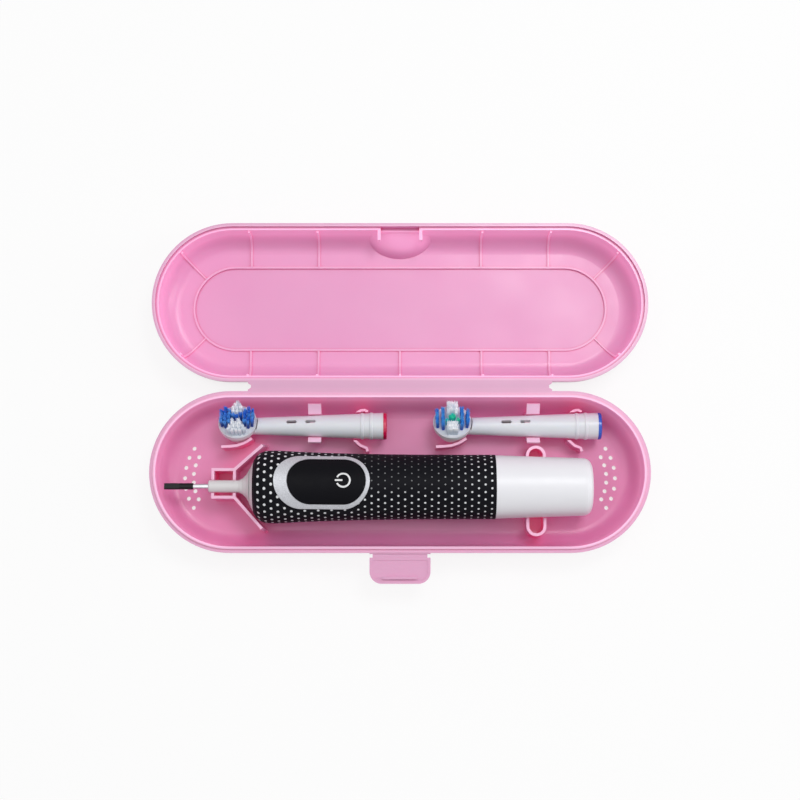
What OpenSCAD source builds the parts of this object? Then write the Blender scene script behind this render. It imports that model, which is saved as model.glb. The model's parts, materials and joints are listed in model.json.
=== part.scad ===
// Travel case for an electric toothbrush, lying open with the handle and two brush heads in place.
// The origin is the centre of the base's underside. +X runs along the case, +Y points towards
// the open lid and +Z is up. All lengths are in millimetres and all angles in degrees.

/* [Case] */
// Width of the case over its rims
case_w = 73.6; // [72:0.2:90]
// Depth of each half of the case, so half of its closed height
half_h = 22; // [21:0.5:28]
// Thickness of the side walls
wall_t = 1.6; // [1.2:0.1:2]
// Thickness of the two floors
floor_t = 1.6; // [1.2:0.1:2]
// Radius of the inside corner between wall and floor
corner_r = 8; // [6:0.5:10]
// How far the rim flange stands out past the wall
rim_out = 1.3; // [1:0.1:2]
// Height of the rim flange
rim_h = 3; // [2.6:0.1:4]
// Gap from each rim to the plane where the halves meet
rim_gap = 0.1; // [0.05:0.05:0.3]
// Thickness of the lip that stands on the base's rim
lip_t = 1.2; // [0.8:0.1:1.4]
// Height of the lip above the base's rim
lip_h = 1.4; // [0.8:0.1:1.8]
// Play between the lip and the lid's rebate
lip_play = 0.25; // [0.2:0.05:0.4]

// Gap from the handle's end to the inside of the case's right end
end_gap = 23.8; // [14:0.5:40]

/* [Lid] */
// Radius of the round ends of the ring rib on the lid's floor
ring_r = 19.6; // [16:0.2:22]
// Thickness of the ribs in the lid
rib_t = 0.9; // [0.7:0.1:1.4]
// How far the ribs stand proud of the lid's inside
rib_h = 0.9; // [0.5:0.1:1.4]
// Distance from the rim down to the top end of each rib
rib_stop = 3.4; // [2:0.2:6]
// How much deeper the lid's floor lies inside the ring rib
panel_sink = 0.5; // [0.2:0.1:0.8]
// Places of the near and far pairs of straight ribs, from the lid's middle
rib_near_x = 38.2; // [20:0.2:50]
// Distance of the outer pair of straight ribs from where the round ends begin
rib_far_in = 7.2; // [3:0.2:12]
// Direction of the four corner ribs
rib_corner_a = 45; // [30:5:60]
// Radius of the finger scoop under the latch
scoop_r = 18.4; // [16:0.2:19]
// Distance of the scoop's centre outside the rim's edge
scoop_out = 6.2; // [5.4:0.1:7]
// Distance of the scoop's centre below the lid's outer face
scoop_drop = 4; // [3.6:0.1:5]
// Width of the catch that the latch hooks over
catch_w = 20.7; // [16:0.1:24]
// Depth of the catch below the flange
catch_h = 4.5; // [3.5:0.1:5]
// Thickness of the catch's side ribs
catch_rib_t = 1.4; // [1:0.1:2]
// Reach of the catch's side ribs into the lid
catch_rib_reach = 4.6; // [1:0.1:6]

/* [Folds] */
// Distance from the rim's edge to the lid's fold line
lid_fold_out = 2.2; // [1.6:0.1:3]
// Length of the lid's folding strip
strip_l = 139; // [100:1:142]
// Thickness of the strips beside the fold
strip_t = 1; // [0.8:0.1:1.4]
// Size of the notch at each end of the fold
notch = 1.4; // [0.6:0.1:2]
// Width of the thin film at the lid's fold
lid_film_w = 1.2; // [0.8:0.1:1.6]
// Thickness of the folding films
film_t = 0.4; // [0.3:0.05:0.5]
// Small gap from a film to the part that it folds
film_gap = 0.05; // [0.02:0.01:0.1]
// Distance from the rim's edge to the latch's fold line
latch_fold_out = 1.3; // [1.2:0.1:1.8]
// Depth of the latch's fold line below the rim's face
latch_fold_drop = 1.2; // [1:0.1:1.6]
// Width of the film at the latch's fold
latch_film_w = 1.6; // [1.2:0.1:1.8]
// Width of the latch flap
flap_w = 27.6; // [22:0.2:34]
// Length of the latch flap from its fold line
flap_l = 12.6; // [11.6:0.1:15]
// Thickness of the latch flap
flap_t = 1.4; // [1.2:0.1:1.6]
// Height of the flap's face above its fold line
flap_rise = 0.4; // [0.3:0.05:0.6]
// Corner radius of the latch flap
flap_corner = 5.5; // [3:0.5:6]
// Width of the flap's raised border
border_w = 1.2; // [0.8:0.1:2]
// Height of the flap's raised border
border_h = 0.35; // [0.2:0.05:0.5]
// Width of the ridge that hooks over the catch
ridge_w = 15.5; // [12:0.5:18]
// Height of the ridge above the flap's face
ridge_h = 1.4; // [1.2:0.1:1.6]
// Thickness of the ridge
ridge_t = 1.1; // [0.9:0.1:1.4]
// Play between the ridge and the catch when the case is shut
ridge_play = 0.5; // [0.3:0.1:0.8]

/* [Vents] */
// Diameter of the vent holes
vent_d = 1.9; // [1:0.1:2.4]
// Radius of the outer arc of vent holes
vent_outer_r = 24.6; // [23:0.2:24.8]
// Radius of the inner arc of vent holes
vent_inner_r = 20.6; // [17:0.2:21.6]
// Angle between neighbouring vent holes
vent_step = 11.4; // [9:0.2:13]
// Distance of the arcs' centre from where the round end begins, towards the middle
vent_in = 1.5; // [0:0.1:2]
// Distance of the arcs' centre from the case's middle line, towards the latch
vent_down = 1.8; // [0:0.1:3]
// Number of vent holes on the outer arc
vent_outer_n = 7; // [3:1:7]

/* [Cradles] */
// Thickness of the cradle walls
cradle_t = 1.3; // [1:0.1:1.8]
// Place of the first cross rib, from the tip of the drive shaft
cradle_front = 22; // [21:0.2:24]
// Distance between the two cross ribs
cradle_l = 9.8; // [8:0.2:10.4]
// Distance of the cradle's back rail from the handle's axis
rail_back = 7.9; // [5:0.1:9]
// Distance of the cradle's front rail from the handle's axis
rail_front = 4.7; // [4.5:0.1:9]
// How far the braces run on behind the second cross rib
brace_l = 12.7; // [8:0.2:13]
// Distance of the braces' ends from the handle's axis
brace_out = 19; // [18:0.2:21]
// Play between the cradles and what they hold
seat_gap = 0.3; // [0.15:0.05:0.4]
// Length of the handle saddle across the case
saddle_l = 41.4; // [36:0.2:44]
// Width of the handle saddle
saddle_w = 9.1; // [7:0.1:11]
// Distance of the saddle's middle in front of the handle's axis
saddle_off = 1.6; // [0:0.1:2]
// Distance from the grip's end to the saddle's middle
saddle_back = 19; // [10:0.2:24]
// Height of the saddle above the case's floor
saddle_h = 14; // [9:0.5:15]
// Width of the head clips along the case
clip_w = 6; // [4:0.5:8]
// Thickness of the clips' arms
clip_t = 1.2; // [1:0.1:1.6]
// Place of the left clip, from its brush disc's centre
clip_left_at = 35.4; // [33:0.2:40]
// Place of the right clip, from its brush disc's centre
clip_right_at = 37.2; // [33:0.2:40]
// Reach of the clips' flared tabs towards the lid
tab_back = 4.4; // [2:0.1:4.6]
// Reach of the clips' flared tabs towards the latch
tab_front = 2.4; // [1.5:0.1:3]
// Thickness of the hooks around the brush heads
hook_t = 1.2; // [1:0.1:1.6]
// Height of the hooks beside the brush discs, against the heads' axis
disc_hook_rise = 2; // [0:0.5:3]

/* [Handle] */
// Gap from the drive shaft's tip to the inside of the case's end
tip_gap = 3.9; // [2:0.1:6]
// Gap from the grip to the inside of the case's front wall
front_gap = 10.5; // [6:0.1:11]
// Height of the grip's underside above the case's floor
grip_lift = 0.5; // [0.3:0.1:1]
// Roll of the handle in its cradles, with the button towards the lid
handle_roll = 8; // [0:1:12]
// Length of the flatted tip that drives a brush head
tip_l = 13.2; // [11:0.1:14]
// Diameter of the tip
tip_d = 2.9; // [2.7:0.05:3]
// Diameter of the steel drive shaft
shaft_d = 2.3; // [2:0.05:2.4]
// Length of bare steel between the tip and the neck
shaft_bare = 6.9; // [5:0.1:8]
// How far the drive shaft's axis lies from the handle's axis, towards the button
shaft_rise = 1.5; // [1:0.1:2]
// Diameter of the neck that a brush head slides over
neck_d = 5.6; // [5.2:0.1:5.7]
// Length of the neck
neck_l = 13.7; // [12:0.1:14]
// Length of the flared cone between neck and grip
cone_l = 6.9; // [6:0.1:9]
// Radius of the cone where it meets the grip
cone_r = 11.9; // [11:0.1:12.6]
// Length of the soft grip
grip_l = 109.8; // [108:0.2:118]
// Largest radius of the grip, at its shoulder
grip_r = 16.6; // [16:0.1:17.4]
// Radius of the grip at its far end
grip_end_r = 14.65; // [14.2:0.05:15.2]
// Thickness of the soft grip
sleeve_t = 1.5; // [1.2:0.1:1.6]
// Length of the bare housing behind the grip
body_l = 44; // [42:0.2:46]
// Radius of the housing near its end
body_end_r = 13.15; // [12.6:0.05:13.6]
// Corner radius of the housing's end
end_corner = 4; // [2:0.5:5]
// Radius of the housing's bore
bore_r = 11.4; // [11.3:0.05:11.5]
// Play between parts that slide into each other
slip = 0.05; // [0.02:0.01:0.08]
// Depth of the socket for the charger's pin
socket_l = 14; // [8:0.5:15]
// Radius of the socket for the charger's pin
socket_r = 4.6; // [3.5:0.1:5]

/* [Button] */
// Distance from the drive shaft's tip to the button's near end
button_at = 56.5; // [55:0.5:58]
// Length of the button
button_l = 35.5; // [32:0.1:37]
// Width of the button
button_w = 20.8; // [18:0.2:21.4]
// Width of the bezel's sides
bezel_side = 1.7; // [1.4:0.1:2]
// Length of the bezel's wide end
bezel_wide = 5.9; // [3:0.1:6.5]
// Height of the bezel above the grip
bezel_rise = 0.3; // [0.1:0.05:0.5]
// Height of the button above the grip
button_rise = 0.6; // [0.3:0.05:0.8]
// Thickness of the button's skin
button_t = 1.1; // [0.9:0.05:1.2]
// Play around the button
button_play = 0.25; // [0.15:0.05:0.4]
// Travel of the button
button_travel = 0.8; // [0.4:0.1:0.8]
// Outer radius of the power symbol
symbol_r = 3.4; // [2:0.1:4.5]
// Line width of the power symbol
symbol_w = 0.8; // [0.5:0.1:1.2]
// Distance from the button's near end to the power symbol's middle
symbol_at = 25.3; // [18:0.1:28]

/* [Drive] */
// Module of the two gears
gear_m = 0.35; // [0.3:0.01:0.36]
// Number of teeth on the motor's pinion
pinion_n = 12; // [12:1:13]
// Number of teeth on the crank gear
crank_n = 24; // [22:1:25]
// Width of the gear teeth
gear_w = 3; // [2:0.1:3.4]
// Gap between meshed teeth, as an angle on the crank gear
backlash = 0.8; // [0.5:0.1:1.2]
// Distance of the motor's axis from the handle's axis, towards the button
motor_rise = 3; // [2.6:0.1:3.2]
// Radius of the gears' axles
axle_r = 0.75; // [0.6:0.05:0.9]
// Play between an axle and its bore
axle_play = 0.05; // [0.02:0.01:0.08]
// Radius of the motor's can
motor_r = 7.7; // [7:0.1:7.8]
// Distance between the flats of the motor's can
motor_flat = 11; // [10:0.2:11]
// Length of the motor's can
motor_l = 25; // [20:0.5:26]
// Radius of the battery cell
cell_r = 7.25; // [6.5:0.05:7.3]
// Length of the battery cell
cell_l = 48.5; // [44:0.5:50]
// Thickness of the cell's tabs
tab_t = 0.3; // [0.2:0.05:0.4]
// Length of the charging coil
coil_l = 10.5; // [8:0.5:12]
// Outer radius of the charging coil
coil_r = 9.6; // [8:0.1:10.5]
// Thickness of the circuit board
board_t = 1; // [0.8:0.1:1.2]
// Width of the circuit board
board_w = 9.6; // [8:0.2:9.8]

/* [Heads] */
// Gap from the case's end to the left brush disc's centre, over the rim
head_in = 39.4; // [36:0.2:44]
// Gap from the case's end to the right head's open end, over the rim
head_out = 21.5; // [18:0.2:26]
// Distance of the heads' axis from the inside of the case's back wall
head_gap = 12.4; // [12:0.1:14]
// Height of the heads' axis above the case's underside
head_z = 13; // [12:0.1:15]
// Roll of the heads in their clips, with the bristles towards the lid
head_roll = 27; // [10:1:27]
// Length of a head from its disc's centre to its open end
head_l = 68.5; // [66:0.1:70]
// Radius of the stem beside the disc
stem_r0 = 3.9; // [3.7:0.05:4.2]
// Radius of the stem at its open end
stem_r1 = 6.2; // [5.9:0.05:6.4]
// Length of the coloured ring
ring_l = 1.6; // [1:0.1:3]
// Radius of the brush disc
disc_r = 8.8; // [8.2:0.1:9]
// Thickness of the brush disc
disc_t = 2.2; // [1.8:0.1:2.6]
// Radius of the stem's cup under the disc
cup_r = 6.2; // [5.6:0.1:6.3]
// Gap between the cup and the turning disc
disc_gap = 0.3; // [0.2:0.05:0.4]
// Offset of the link's rod from the stem's axis
rod_off = 2.2; // [2:0.05:2.2]
// Diameter of the link's rod
rod_d = 0.9; // [0.7:0.05:0.9]
// Width of the white bank across the disc
bank_w = 6.6; // [6:0.1:7]
// Length of the bristles above the disc
bristle_l = 6.5; // [5:0.1:7.4]
// Width of one bristle strand
strand_w = 0.62; // [0.4:0.02:0.7]
// Distance between strands in one tuft
strand_gap = 0.86; // [0.8:0.01:0.95]
// How much the bristles spread towards their tips
flare = 0.1; // [0:0.01:0.14]

/* [Hidden] */
$fn = 64;
reach = 60;          // longer than any hole, window or cut that goes right through
bite = 0.4;          // how deep moulded pieces of one solid run into each other

// Case, derived
rim_r = case_w / 2;
case_l = tip_l + shaft_bare + neck_l + cone_l + grip_l + body_l + tip_gap + end_gap + 2 * (rim_out + wall_t);
wall_r = rim_r - rim_out;
cav_r = wall_r - wall_t;
end_x = case_l / 2 - rim_r;
rim_z = half_h - rim_gap;
rebate_h = lip_h + 3 * rim_gap;
lid_fold_y = rim_r + lid_fold_out;
lid_y = 2 * lid_fold_y;
latch_fold_y = -(rim_r + latch_fold_out);
latch_fold_z = rim_z - latch_fold_drop;
catch_z = rim_z - rim_h - catch_h;
ridge_at = 2 * half_h - catch_z - latch_fold_z + ridge_play;
rib_a = rib_t / cav_r * 180 / PI;
rib_far_x = end_x - rib_far_in;

// Handle, derived: stations run along the handle from the drive shaft's tip
handle_x = -case_l / 2 + (rim_r - cav_r) + tip_gap;
handle_y = -cav_r + front_gap + grip_r;
handle_z = floor_t + grip_lift + grip_r;
neck_s = tip_l + shaft_bare;
cone_s = neck_s + neck_l;
grip_s = cone_s + cone_l;
shoulder_s = grip_s + 9.4;
body_s = grip_s + grip_l;
end_s = body_s + body_l;
tube_s = grip_s + 3.6;
saddle_at = body_s + saddle_back;
neck_y = handle_y + shaft_rise * sin(handle_roll);
neck_z = handle_z + shaft_rise * cos(handle_roll);
body_r = grip_end_r - 0.2;
button_mid = button_at + button_l / 2;

// Drive, derived: places across the handle are measured from its axis
pitch_gap = gear_m * (pinion_n + crank_n) / 2;
crank_z = motor_rise - pitch_gap;
gear_s = button_at + 17;
plate_s = gear_s + gear_w + 1;
motor_s = plate_s + 2.2;
front_plate_s = gear_s - 9;
rocker_s = gear_s - 4;
cell_s = motor_s + motor_l + 3.6;
chassis_r = bore_r - 4 * slip;
board_z = 9.1;
switch_s = button_at + 6;

// Heads, derived: stations run along the stem from the disc's centre
head_x_left = -case_l / 2 + head_in;
head_x_right = case_l / 2 - head_out - head_l;
head_y = cav_r - head_gap;
stem_s = 8.6;
stem_end = head_l - ring_l;
neck_socket_s = head_l - neck_l - 0.2;
link_r = neck_d / 2 - 0.1;
channel_r = link_r + 0.08;
cup_top = 1.3;
cup_bottom = -4.4;
cup_floor = -3.3;
disc_z = cup_top + disc_gap;
slice_t = 0.8;
field_r = disc_r - 0.5;
hub_r = 4.2;
hub_bottom = cup_floor + 0.4;
pin_r = 1;

function grip_radius(s) =
    s <= shoulder_s ? grip_r
    : grip_end_r + (grip_r - grip_end_r) * pow(1 - min(1, (s - shoulder_s) / (body_s - shoulder_s)), 3);
function body_radius(s) = body_r + (body_end_r - body_r) * (s - body_s) / (body_l - end_corner);
function stem_radius(s) = stem_r0 + (stem_r1 - stem_r0) * (s - stem_s) / (stem_end - stem_s);

// Points [station, radius] along the grip behind its shoulder, moved by a depth
grip_steps = [0 : 8];
function grip_points(depth) = [for (i = grip_steps)
    let (s = shoulder_s + (body_s - shoulder_s) * i / 8) [s, grip_radius(s) + depth]];
shoulder_points = [[grip_s, cone_r + 0.4], [grip_s + 1.1, cone_r + 2.1], [grip_s + 2.9, grip_r - 1.1],
    [grip_s + 5.2, grip_r - 0.2]];
corner_points = [for (a = [90 : -15 : 0])
    [end_s - end_corner + end_corner * cos(a), body_end_r - end_corner + end_corner * sin(a)]];

// A flat ribbon of one thickness that follows a list of points
function unit(v) = v / norm(v);
function turned(v) = [-v[1], v[0]];
function ribbon_normal(p, i) = unit(
    (i > 0 ? turned(unit(p[i] - p[i - 1])) : [0, 0])
    + (i < len(p) - 1 ? turned(unit(p[i + 1] - p[i])) : [0, 0]));
function ribbon(p, t) = concat(
    [for (i = [0 : len(p) - 1]) p[i] + ribbon_normal(p, i) * t / 2],
    [for (i = [len(p) - 1 : -1 : 0]) p[i] - ribbon_normal(p, i) * t / 2]);

// ---- shared shapes ----

// Half of a tray's section, in [radius, height], with its lower outer corner rounded
module tray_section(r, h, corner) {
    difference() {
        square([r, h]);
        difference() {
            translate([r - corner, -1]) square([corner + 1, corner + 1]);
            translate([r - corner, corner]) circle(corner);
        }
    }
}

// Sweeps a half section around the round-ended plan of the case
module around_case() {
    for (side = [-1, 1]) translate([side * end_x, 0, 0]) rotate([0, 0, -90 * side])
        rotate_extrude(angle = 180) children();
    along_case(2 * end_x) {
        children();
        mirror([1, 0]) children();
    }
}

// Runs a [y, z] section along the middle of the case
module along_case(l) {
    rotate([90, 0, 90]) linear_extrude(height = l, center = true) children();
}

module case_wall() {
    difference() {
        union() {
            tray_section(wall_r, rim_z, corner_r + wall_t);
            translate([cav_r + wall_t / 2, rim_z - rim_h]) square([rim_out + wall_t / 2, rim_h]);
            children();
        }
        translate([0, floor_t]) tray_section(cav_r, half_h + lip_h, corner_r);
    }
}

// The strip beside the lid's fold, drawn for the base's side
module fold_strip() {
    inner = rim_r - bite;
    outer = lid_fold_y - lid_film_w / 2;
    translate([0, 0, rim_z - strip_t]) linear_extrude(height = strip_t)
        polygon([[-strip_l / 2, inner], [strip_l / 2, inner], [strip_l / 2, rim_r + lid_fold_out / 3],
            [strip_l / 2 - notch, outer], [-strip_l / 2 + notch, outer], [-strip_l / 2, rim_r + lid_fold_out / 3]]);
}

// The handle's own frame: X from the drive shaft's tip, Z towards the button
module in_handle() {
    translate([handle_x, handle_y, handle_z]) rotate([-handle_roll, 0, 0]) children();
}

// A head's own frame: X from the disc's centre along the stem, Z towards the bristles
module in_head(x) {
    translate([x, head_y, head_z]) rotate([-head_roll, 0, 0]) children();
}

// A turned shape about the X axis, from [station, radius] points
module lathe(points) {
    rotate([0, 90, 0]) rotate_extrude() polygon([for (p = points) [p[1], p[0]]]);
}

// A round bar along X
module bar(s, l, r) {
    translate([s, 0, 0]) rotate([0, 90, 0]) cylinder(h = l, r = r);
}

// A flat shape in the handle's [y, z] plane, made into a plate along X
module plate(s, l) {
    translate([s, 0, 0]) rotate([90, 0, 90]) linear_extrude(height = l) children();
}

// A long round-ended outline, from one end to the other along X
module oval(x0, x1, w) {
    translate([x0 + w / 2, -w / 2]) square([x1 - x0 - w, w]);
    for (x = [x0 + w / 2, x1 - w / 2]) translate([x, 0]) circle(d = w);
}

// ---- case ----

module vents() {
    for (side = [0, 1]) mirror([side, 0, 0]) translate([end_x - vent_in, -vent_down, -1]) {
        for (i = [0 : vent_outer_n - 1]) rotate([0, 0, vent_step * (i - (vent_outer_n - 1) / 2)])
            translate([vent_outer_r, 0, 0]) cylinder(h = floor_t + 2, d = vent_d);
        for (i = [0 : vent_outer_n - 2]) rotate([0, 0, vent_step * (i - (vent_outer_n - 2) / 2)])
            translate([vent_inner_r, 0, 0]) cylinder(h = floor_t + 2, d = vent_d);
    }
}

module base_shell() {
    root_y = latch_fold_y + latch_film_w / 2;
    color([0.89, 0.42, 0.66]) difference() {
        union() {
            around_case() case_wall() translate([cav_r - 1, rim_z - 1]) square([lip_t + 1, lip_h + 1]);
            fold_strip();
            translate([-flap_w / 2, root_y, latch_fold_z - flap_t / 2])
                cube([flap_w, -rim_r + bite - root_y, flap_t]);
        }
        vents();
    }
}

// Section of the ribs that run from the ring rib up the lid's wall
module rib_section() {
    difference() {
        tray_section(cav_r + bite, rim_z - rib_stop, corner_r + floor_t);
        translate([0, floor_t + rib_h]) tray_section(cav_r - rib_h, half_h, corner_r - rib_h);
        translate([-1, -1]) square([ring_r + 1, half_h]);
        translate([-1, -1]) square([rim_r + 1, 1 + floor_t / 2]);
    }
}

module lid_rib(x, angle) {
    translate([x, 0, 0]) rotate([0, 0, angle]) rotate([90, 0, 0])
        linear_extrude(height = rib_t, center = true) rib_section();
}

module lid_ribs() {
    for (x = [-rib_far_x, -rib_near_x, rib_near_x, rib_far_x], angle = [-90, 90]) lid_rib(x, angle);
    lid_rib(0, -90);
    for (side = [-1, 1], turn = [-1, 1]) translate([side * end_x, 0, 0])
        rotate([0, 0, turn * (90 - side * rib_corner_a) - rib_a / 2]) rotate_extrude(angle = rib_a) rib_section();
}

// The lid lies open behind the base, with its rim up
module lid_shell() {
    catch_in = catch_w / 2 - catch_rib_t;
    color([0.95, 0.6, 0.78]) translate([0, lid_y, 0]) difference() {
        union() {
            around_case() difference() {
                case_wall();
                translate([cav_r - 1, rim_z - rebate_h]) square([1 + lip_t + lip_play, rebate_h + 1]);
            }
            around_case() translate([ring_r - rib_t / 2, floor_t / 2]) square([rib_t, floor_t / 2 + rib_h]);
            lid_ribs();
            mirror([0, 1, 0]) fold_strip();
            translate([-catch_w / 2, cav_r + wall_t / 2, catch_z])
                cube([catch_w, rim_r - cav_r - wall_t / 2, catch_h + bite]);
            for (side = [-1, 1])
                translate([side * (catch_w - catch_rib_t) / 2 - catch_rib_t / 2, cav_r - catch_rib_reach, catch_z])
                    cube([catch_rib_t, catch_rib_reach + bite, rim_z - rebate_h - catch_z]);
            intersection() {
                translate([0, rim_r + scoop_out, -scoop_drop]) sphere(scoop_r + wall_t, $fn = 96);
                along_case(2.5 * scoop_r) translate([0, bite])
                    tray_section(wall_r - bite, catch_z, corner_r + wall_t - bite);
            }
        }
        translate([0, rim_r + scoop_out, -scoop_drop]) sphere(scoop_r, $fn = 96);
        translate([-catch_in, cav_r - rib_h - 1, catch_z + wall_t])
            cube([2 * catch_in, wall_t + rib_h + 1, rim_z - rebate_h - catch_z]);
        around_case() translate([0, floor_t - panel_sink]) square([ring_r - rib_t / 2, half_h]);
    }
}

module lid_hinge_film() {
    l = strip_l - 2 * notch;
    color([0.95, 0.62, 0.8]) translate([-l / 2, lid_fold_y - lid_film_w / 2, rim_z - film_t])
        cube([l, lid_film_w - film_gap, film_t]);
}

module latch_hinge_film() {
    l = flap_w - 2 * notch;
    color([0.95, 0.62, 0.8]) translate([-l / 2, latch_fold_y - latch_film_w / 2 + film_gap, latch_fold_z - film_t / 2])
        cube([l, latch_film_w - film_gap, film_t]);
}

// Outline of the flap beyond the film, in [x, distance from the fold line]
module flap_outline(inset) {
    w = flap_w / 2 - inset;
    far = flap_l - inset;
    near = latch_film_w / 2 + inset;
    r = flap_corner - inset;
    difference() {
        translate([-w, near]) square([2 * w, far - near]);
        for (side = [0, 1]) mirror([side, 0]) difference() {
            translate([w - r, far - r]) square([r + 1, r + 1]);
            translate([w - r, far - r]) circle(r);
        }
    }
}

module latch_flap() {
    face = flap_rise - border_h;
    color([0.95, 0.62, 0.8]) translate([0, latch_fold_y, latch_fold_z]) mirror([0, 1, 0]) {
        translate([0, 0, flap_rise - flap_t]) difference() {
            linear_extrude(height = flap_t) flap_outline(0);
            translate([0, 0, flap_t - border_h]) linear_extrude(height = 1) flap_outline(border_w);
        }
        translate([-ridge_w / 2, ridge_at, face - bite]) cube([ridge_w, ridge_t, ridge_h + border_h + bite]);
    }
}

// ---- cradles, clips and hooks moulded on the base's floor ----

// The room inside the base, kept a hair clear of its rounded corners
module base_room() {
    around_case() translate([0, floor_t]) tray_section(cav_r - slip, half_h, corner_r);
}

brace_start = cradle_front + cradle_l;
function brace_from(side) = [brace_start, side * (side > 0 ? rail_back : rail_front)];
function brace_run(side) = [brace_start + brace_l, side * brace_out] - brace_from(side);

// What is cut away so that a brace's end slopes down to the floor
module brace_slope(side) {
    run = brace_run(side);
    l = norm(run);
    h = neck_z - floor_t;
    translate(brace_from(side)) rotate([0, 0, atan2(run[1], run[0])]) rotate([90, 0, 0])
        linear_extrude(height = 3 * cradle_t, center = true)
        polygon([[l, h + 1], [l, h], [l + 1.5, 0], [l + 1.5, -1], [l + 4, -1], [l + 4, h + 1]]);
}

// The cradle's square well and its two braces, up to the neck's axis
module cradle_walls() {
    difference() {
        linear_extrude(height = neck_z - floor_t) {
            difference() {
                translate([cradle_front - cradle_t / 2, -rail_front - cradle_t / 2])
                    square([cradle_l + cradle_t, rail_back + rail_front + cradle_t]);
                translate([cradle_front + cradle_t / 2, -rail_front + cradle_t / 2])
                    square([cradle_l - cradle_t, rail_back + rail_front - cradle_t]);
            }
            for (side = [-1, 1])
                polygon(ribbon([brace_from(side), brace_from(side) + brace_run(side) + 1.5 * unit(brace_run(side))], cradle_t));
        }
        for (side = [-1, 1]) brace_slope(side);
    }
}

module neck_cradle() {
    color([0.93, 0.5, 0.72]) intersection() {
        base_room();
        difference() {
            translate([handle_x, handle_y, floor_t]) cradle_walls();
            translate([handle_x, neck_y, neck_z]) bar(0, reach, neck_d / 2 + seat_gap / 2);
        }
    }
}

module handle_saddle() {
    hold_r = body_radius(saddle_at - saddle_w / 2) + seat_gap;
    color([0.93, 0.5, 0.72]) difference() {
        intersection() {
            base_room();
            translate([handle_x + saddle_at, handle_y - saddle_off, floor_t]) rotate([0, 0, 90])
                linear_extrude(height = saddle_h) difference() {
                    oval(-saddle_l / 2, saddle_l / 2, saddle_w);
                    oval(-saddle_l / 2 + cradle_t, saddle_l / 2 - cradle_t, saddle_w - 2 * cradle_t);
                }
        }
        translate([handle_x, handle_y, handle_z]) bar(saddle_at - saddle_w, 2 * saddle_w, hold_r);
    }
}

// A clip: a seat under the stem and two arms whose tips flare outwards
module head_clip(x, at) {
    hold_r = stem_radius(at + clip_w / 2) + 0.2;
    arm = hold_r + clip_t;
    low = floor_t - head_z;
    arm_top = 1.5;
    color([0.97, 0.72, 0.85]) translate([x + at, head_y, head_z]) along_case(clip_w) difference() {
        union() {
            translate([-arm, low]) square([2 * arm, arm_top - low]);
            polygon([[hold_r - 0.2, arm_top - 1.4], [arm, arm_top - 1.4], [hold_r + tab_back + 0.4, arm_top + 2.6],
                [hold_r + tab_back, arm_top + 3.6], [hold_r, arm_top]]);
            polygon([[-hold_r + 0.2, arm_top - 1.4], [-arm, arm_top - 1.4], [-hold_r - tab_front - 0.4, arm_top + 1.4],
                [-hold_r - tab_front, arm_top + 2.4], [-hold_r, arm_top]]);
        }
        circle(hold_r);
        translate([-hold_r, 0]) square([2 * hold_r, reach]);
        translate([-hold_r, low - 1]) square([2 * hold_r, 1 + head_z - floor_t - hold_r - clip_t]);
        difference() {
            translate([cav_r - corner_r - slip - head_y, low - 1]) square([corner_r, corner_r]);
            translate([cav_r - corner_r - slip - head_y, low + corner_r]) circle(corner_r);
        }
    }
}

module head_clip_left() {
    head_clip(head_x_left, clip_left_at);
}

module head_clip_right() {
    head_clip(head_x_right, clip_right_at);
}

// A curved upright hook that guards the brush disc on the handle's side
module disc_hook(x) {
    path = disc_r * [[-0.85, -1.09], [-0.41, -1.07], [-0.05, -1.03], [0.3, -0.91], [0.53, -0.79], [0.73, -0.65]];
    color([0.95, 0.6, 0.78]) translate([x, head_y, floor_t])
        linear_extrude(height = head_z + disc_hook_rise - floor_t) polygon(ribbon(path, hook_t));
}

module disc_hook_left() {
    disc_hook(head_x_left);
}

module disc_hook_right() {
    disc_hook(head_x_right);
}

// An S-shaped upright hook that the wide end of the stem lies in
module ring_hook(x) {
    hold_r = stem_r1 + seat_gap;
    shape = stem_r1 * [[-1.42, 1.08], [-1.65, 1.21], [-1.94, 1.18], [-2.26, 0.97], [-2.42, 0.55], [-2.45, -0.32],
        [-2.37, -1.06], [-1.94, -1.44], [-1.5, -1.61], [-1.42, -1.87]];
    path = [for (p = shape) p + [head_l, 0]];
    color([0.95, 0.6, 0.78]) difference() {
        intersection() {
            base_room();
            translate([x, head_y, floor_t]) linear_extrude(height = head_z - floor_t) polygon(ribbon(path, hook_t));
        }
        translate([x, head_y, head_z]) bar(0, 2 * head_l, hold_r);
    }
}

module ring_hook_left() {
    ring_hook(head_x_left);
}

module ring_hook_right() {
    ring_hook(head_x_right);
}

// ---- toothbrush handle ----

// Everything inside the handle's outer surface, at a depth under it, around the button
module skin_block(depth) {
    lathe(concat([[grip_s - 2, 0], [grip_s - 2, grip_r + depth]], grip_points(depth), [[body_s, 0]]));
}

// The outline of the button or of what surrounds it, made into a block through the top
module button_block(end, wide_end, side) {
    linear_extrude(height = reach)
        oval(button_at - wide_end, button_at + button_l + end, button_w + 2 * side);
}

module grip_sleeve() {
    inner = concat(grip_points(-sleeve_t), []);
    back = [for (i = [len(inner) - 1 : -1 : 0]) inner[i]];
    color([0.07, 0.07, 0.08]) in_handle() difference() {
        lathe(concat(shoulder_points, grip_points(0), back, [[tube_s, grip_r - sleeve_t - slip], [grip_s, cone_r + slip]]));
        button_block(bezel_side + slip, bezel_wide + slip, bezel_side + slip);
    }
}

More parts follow.
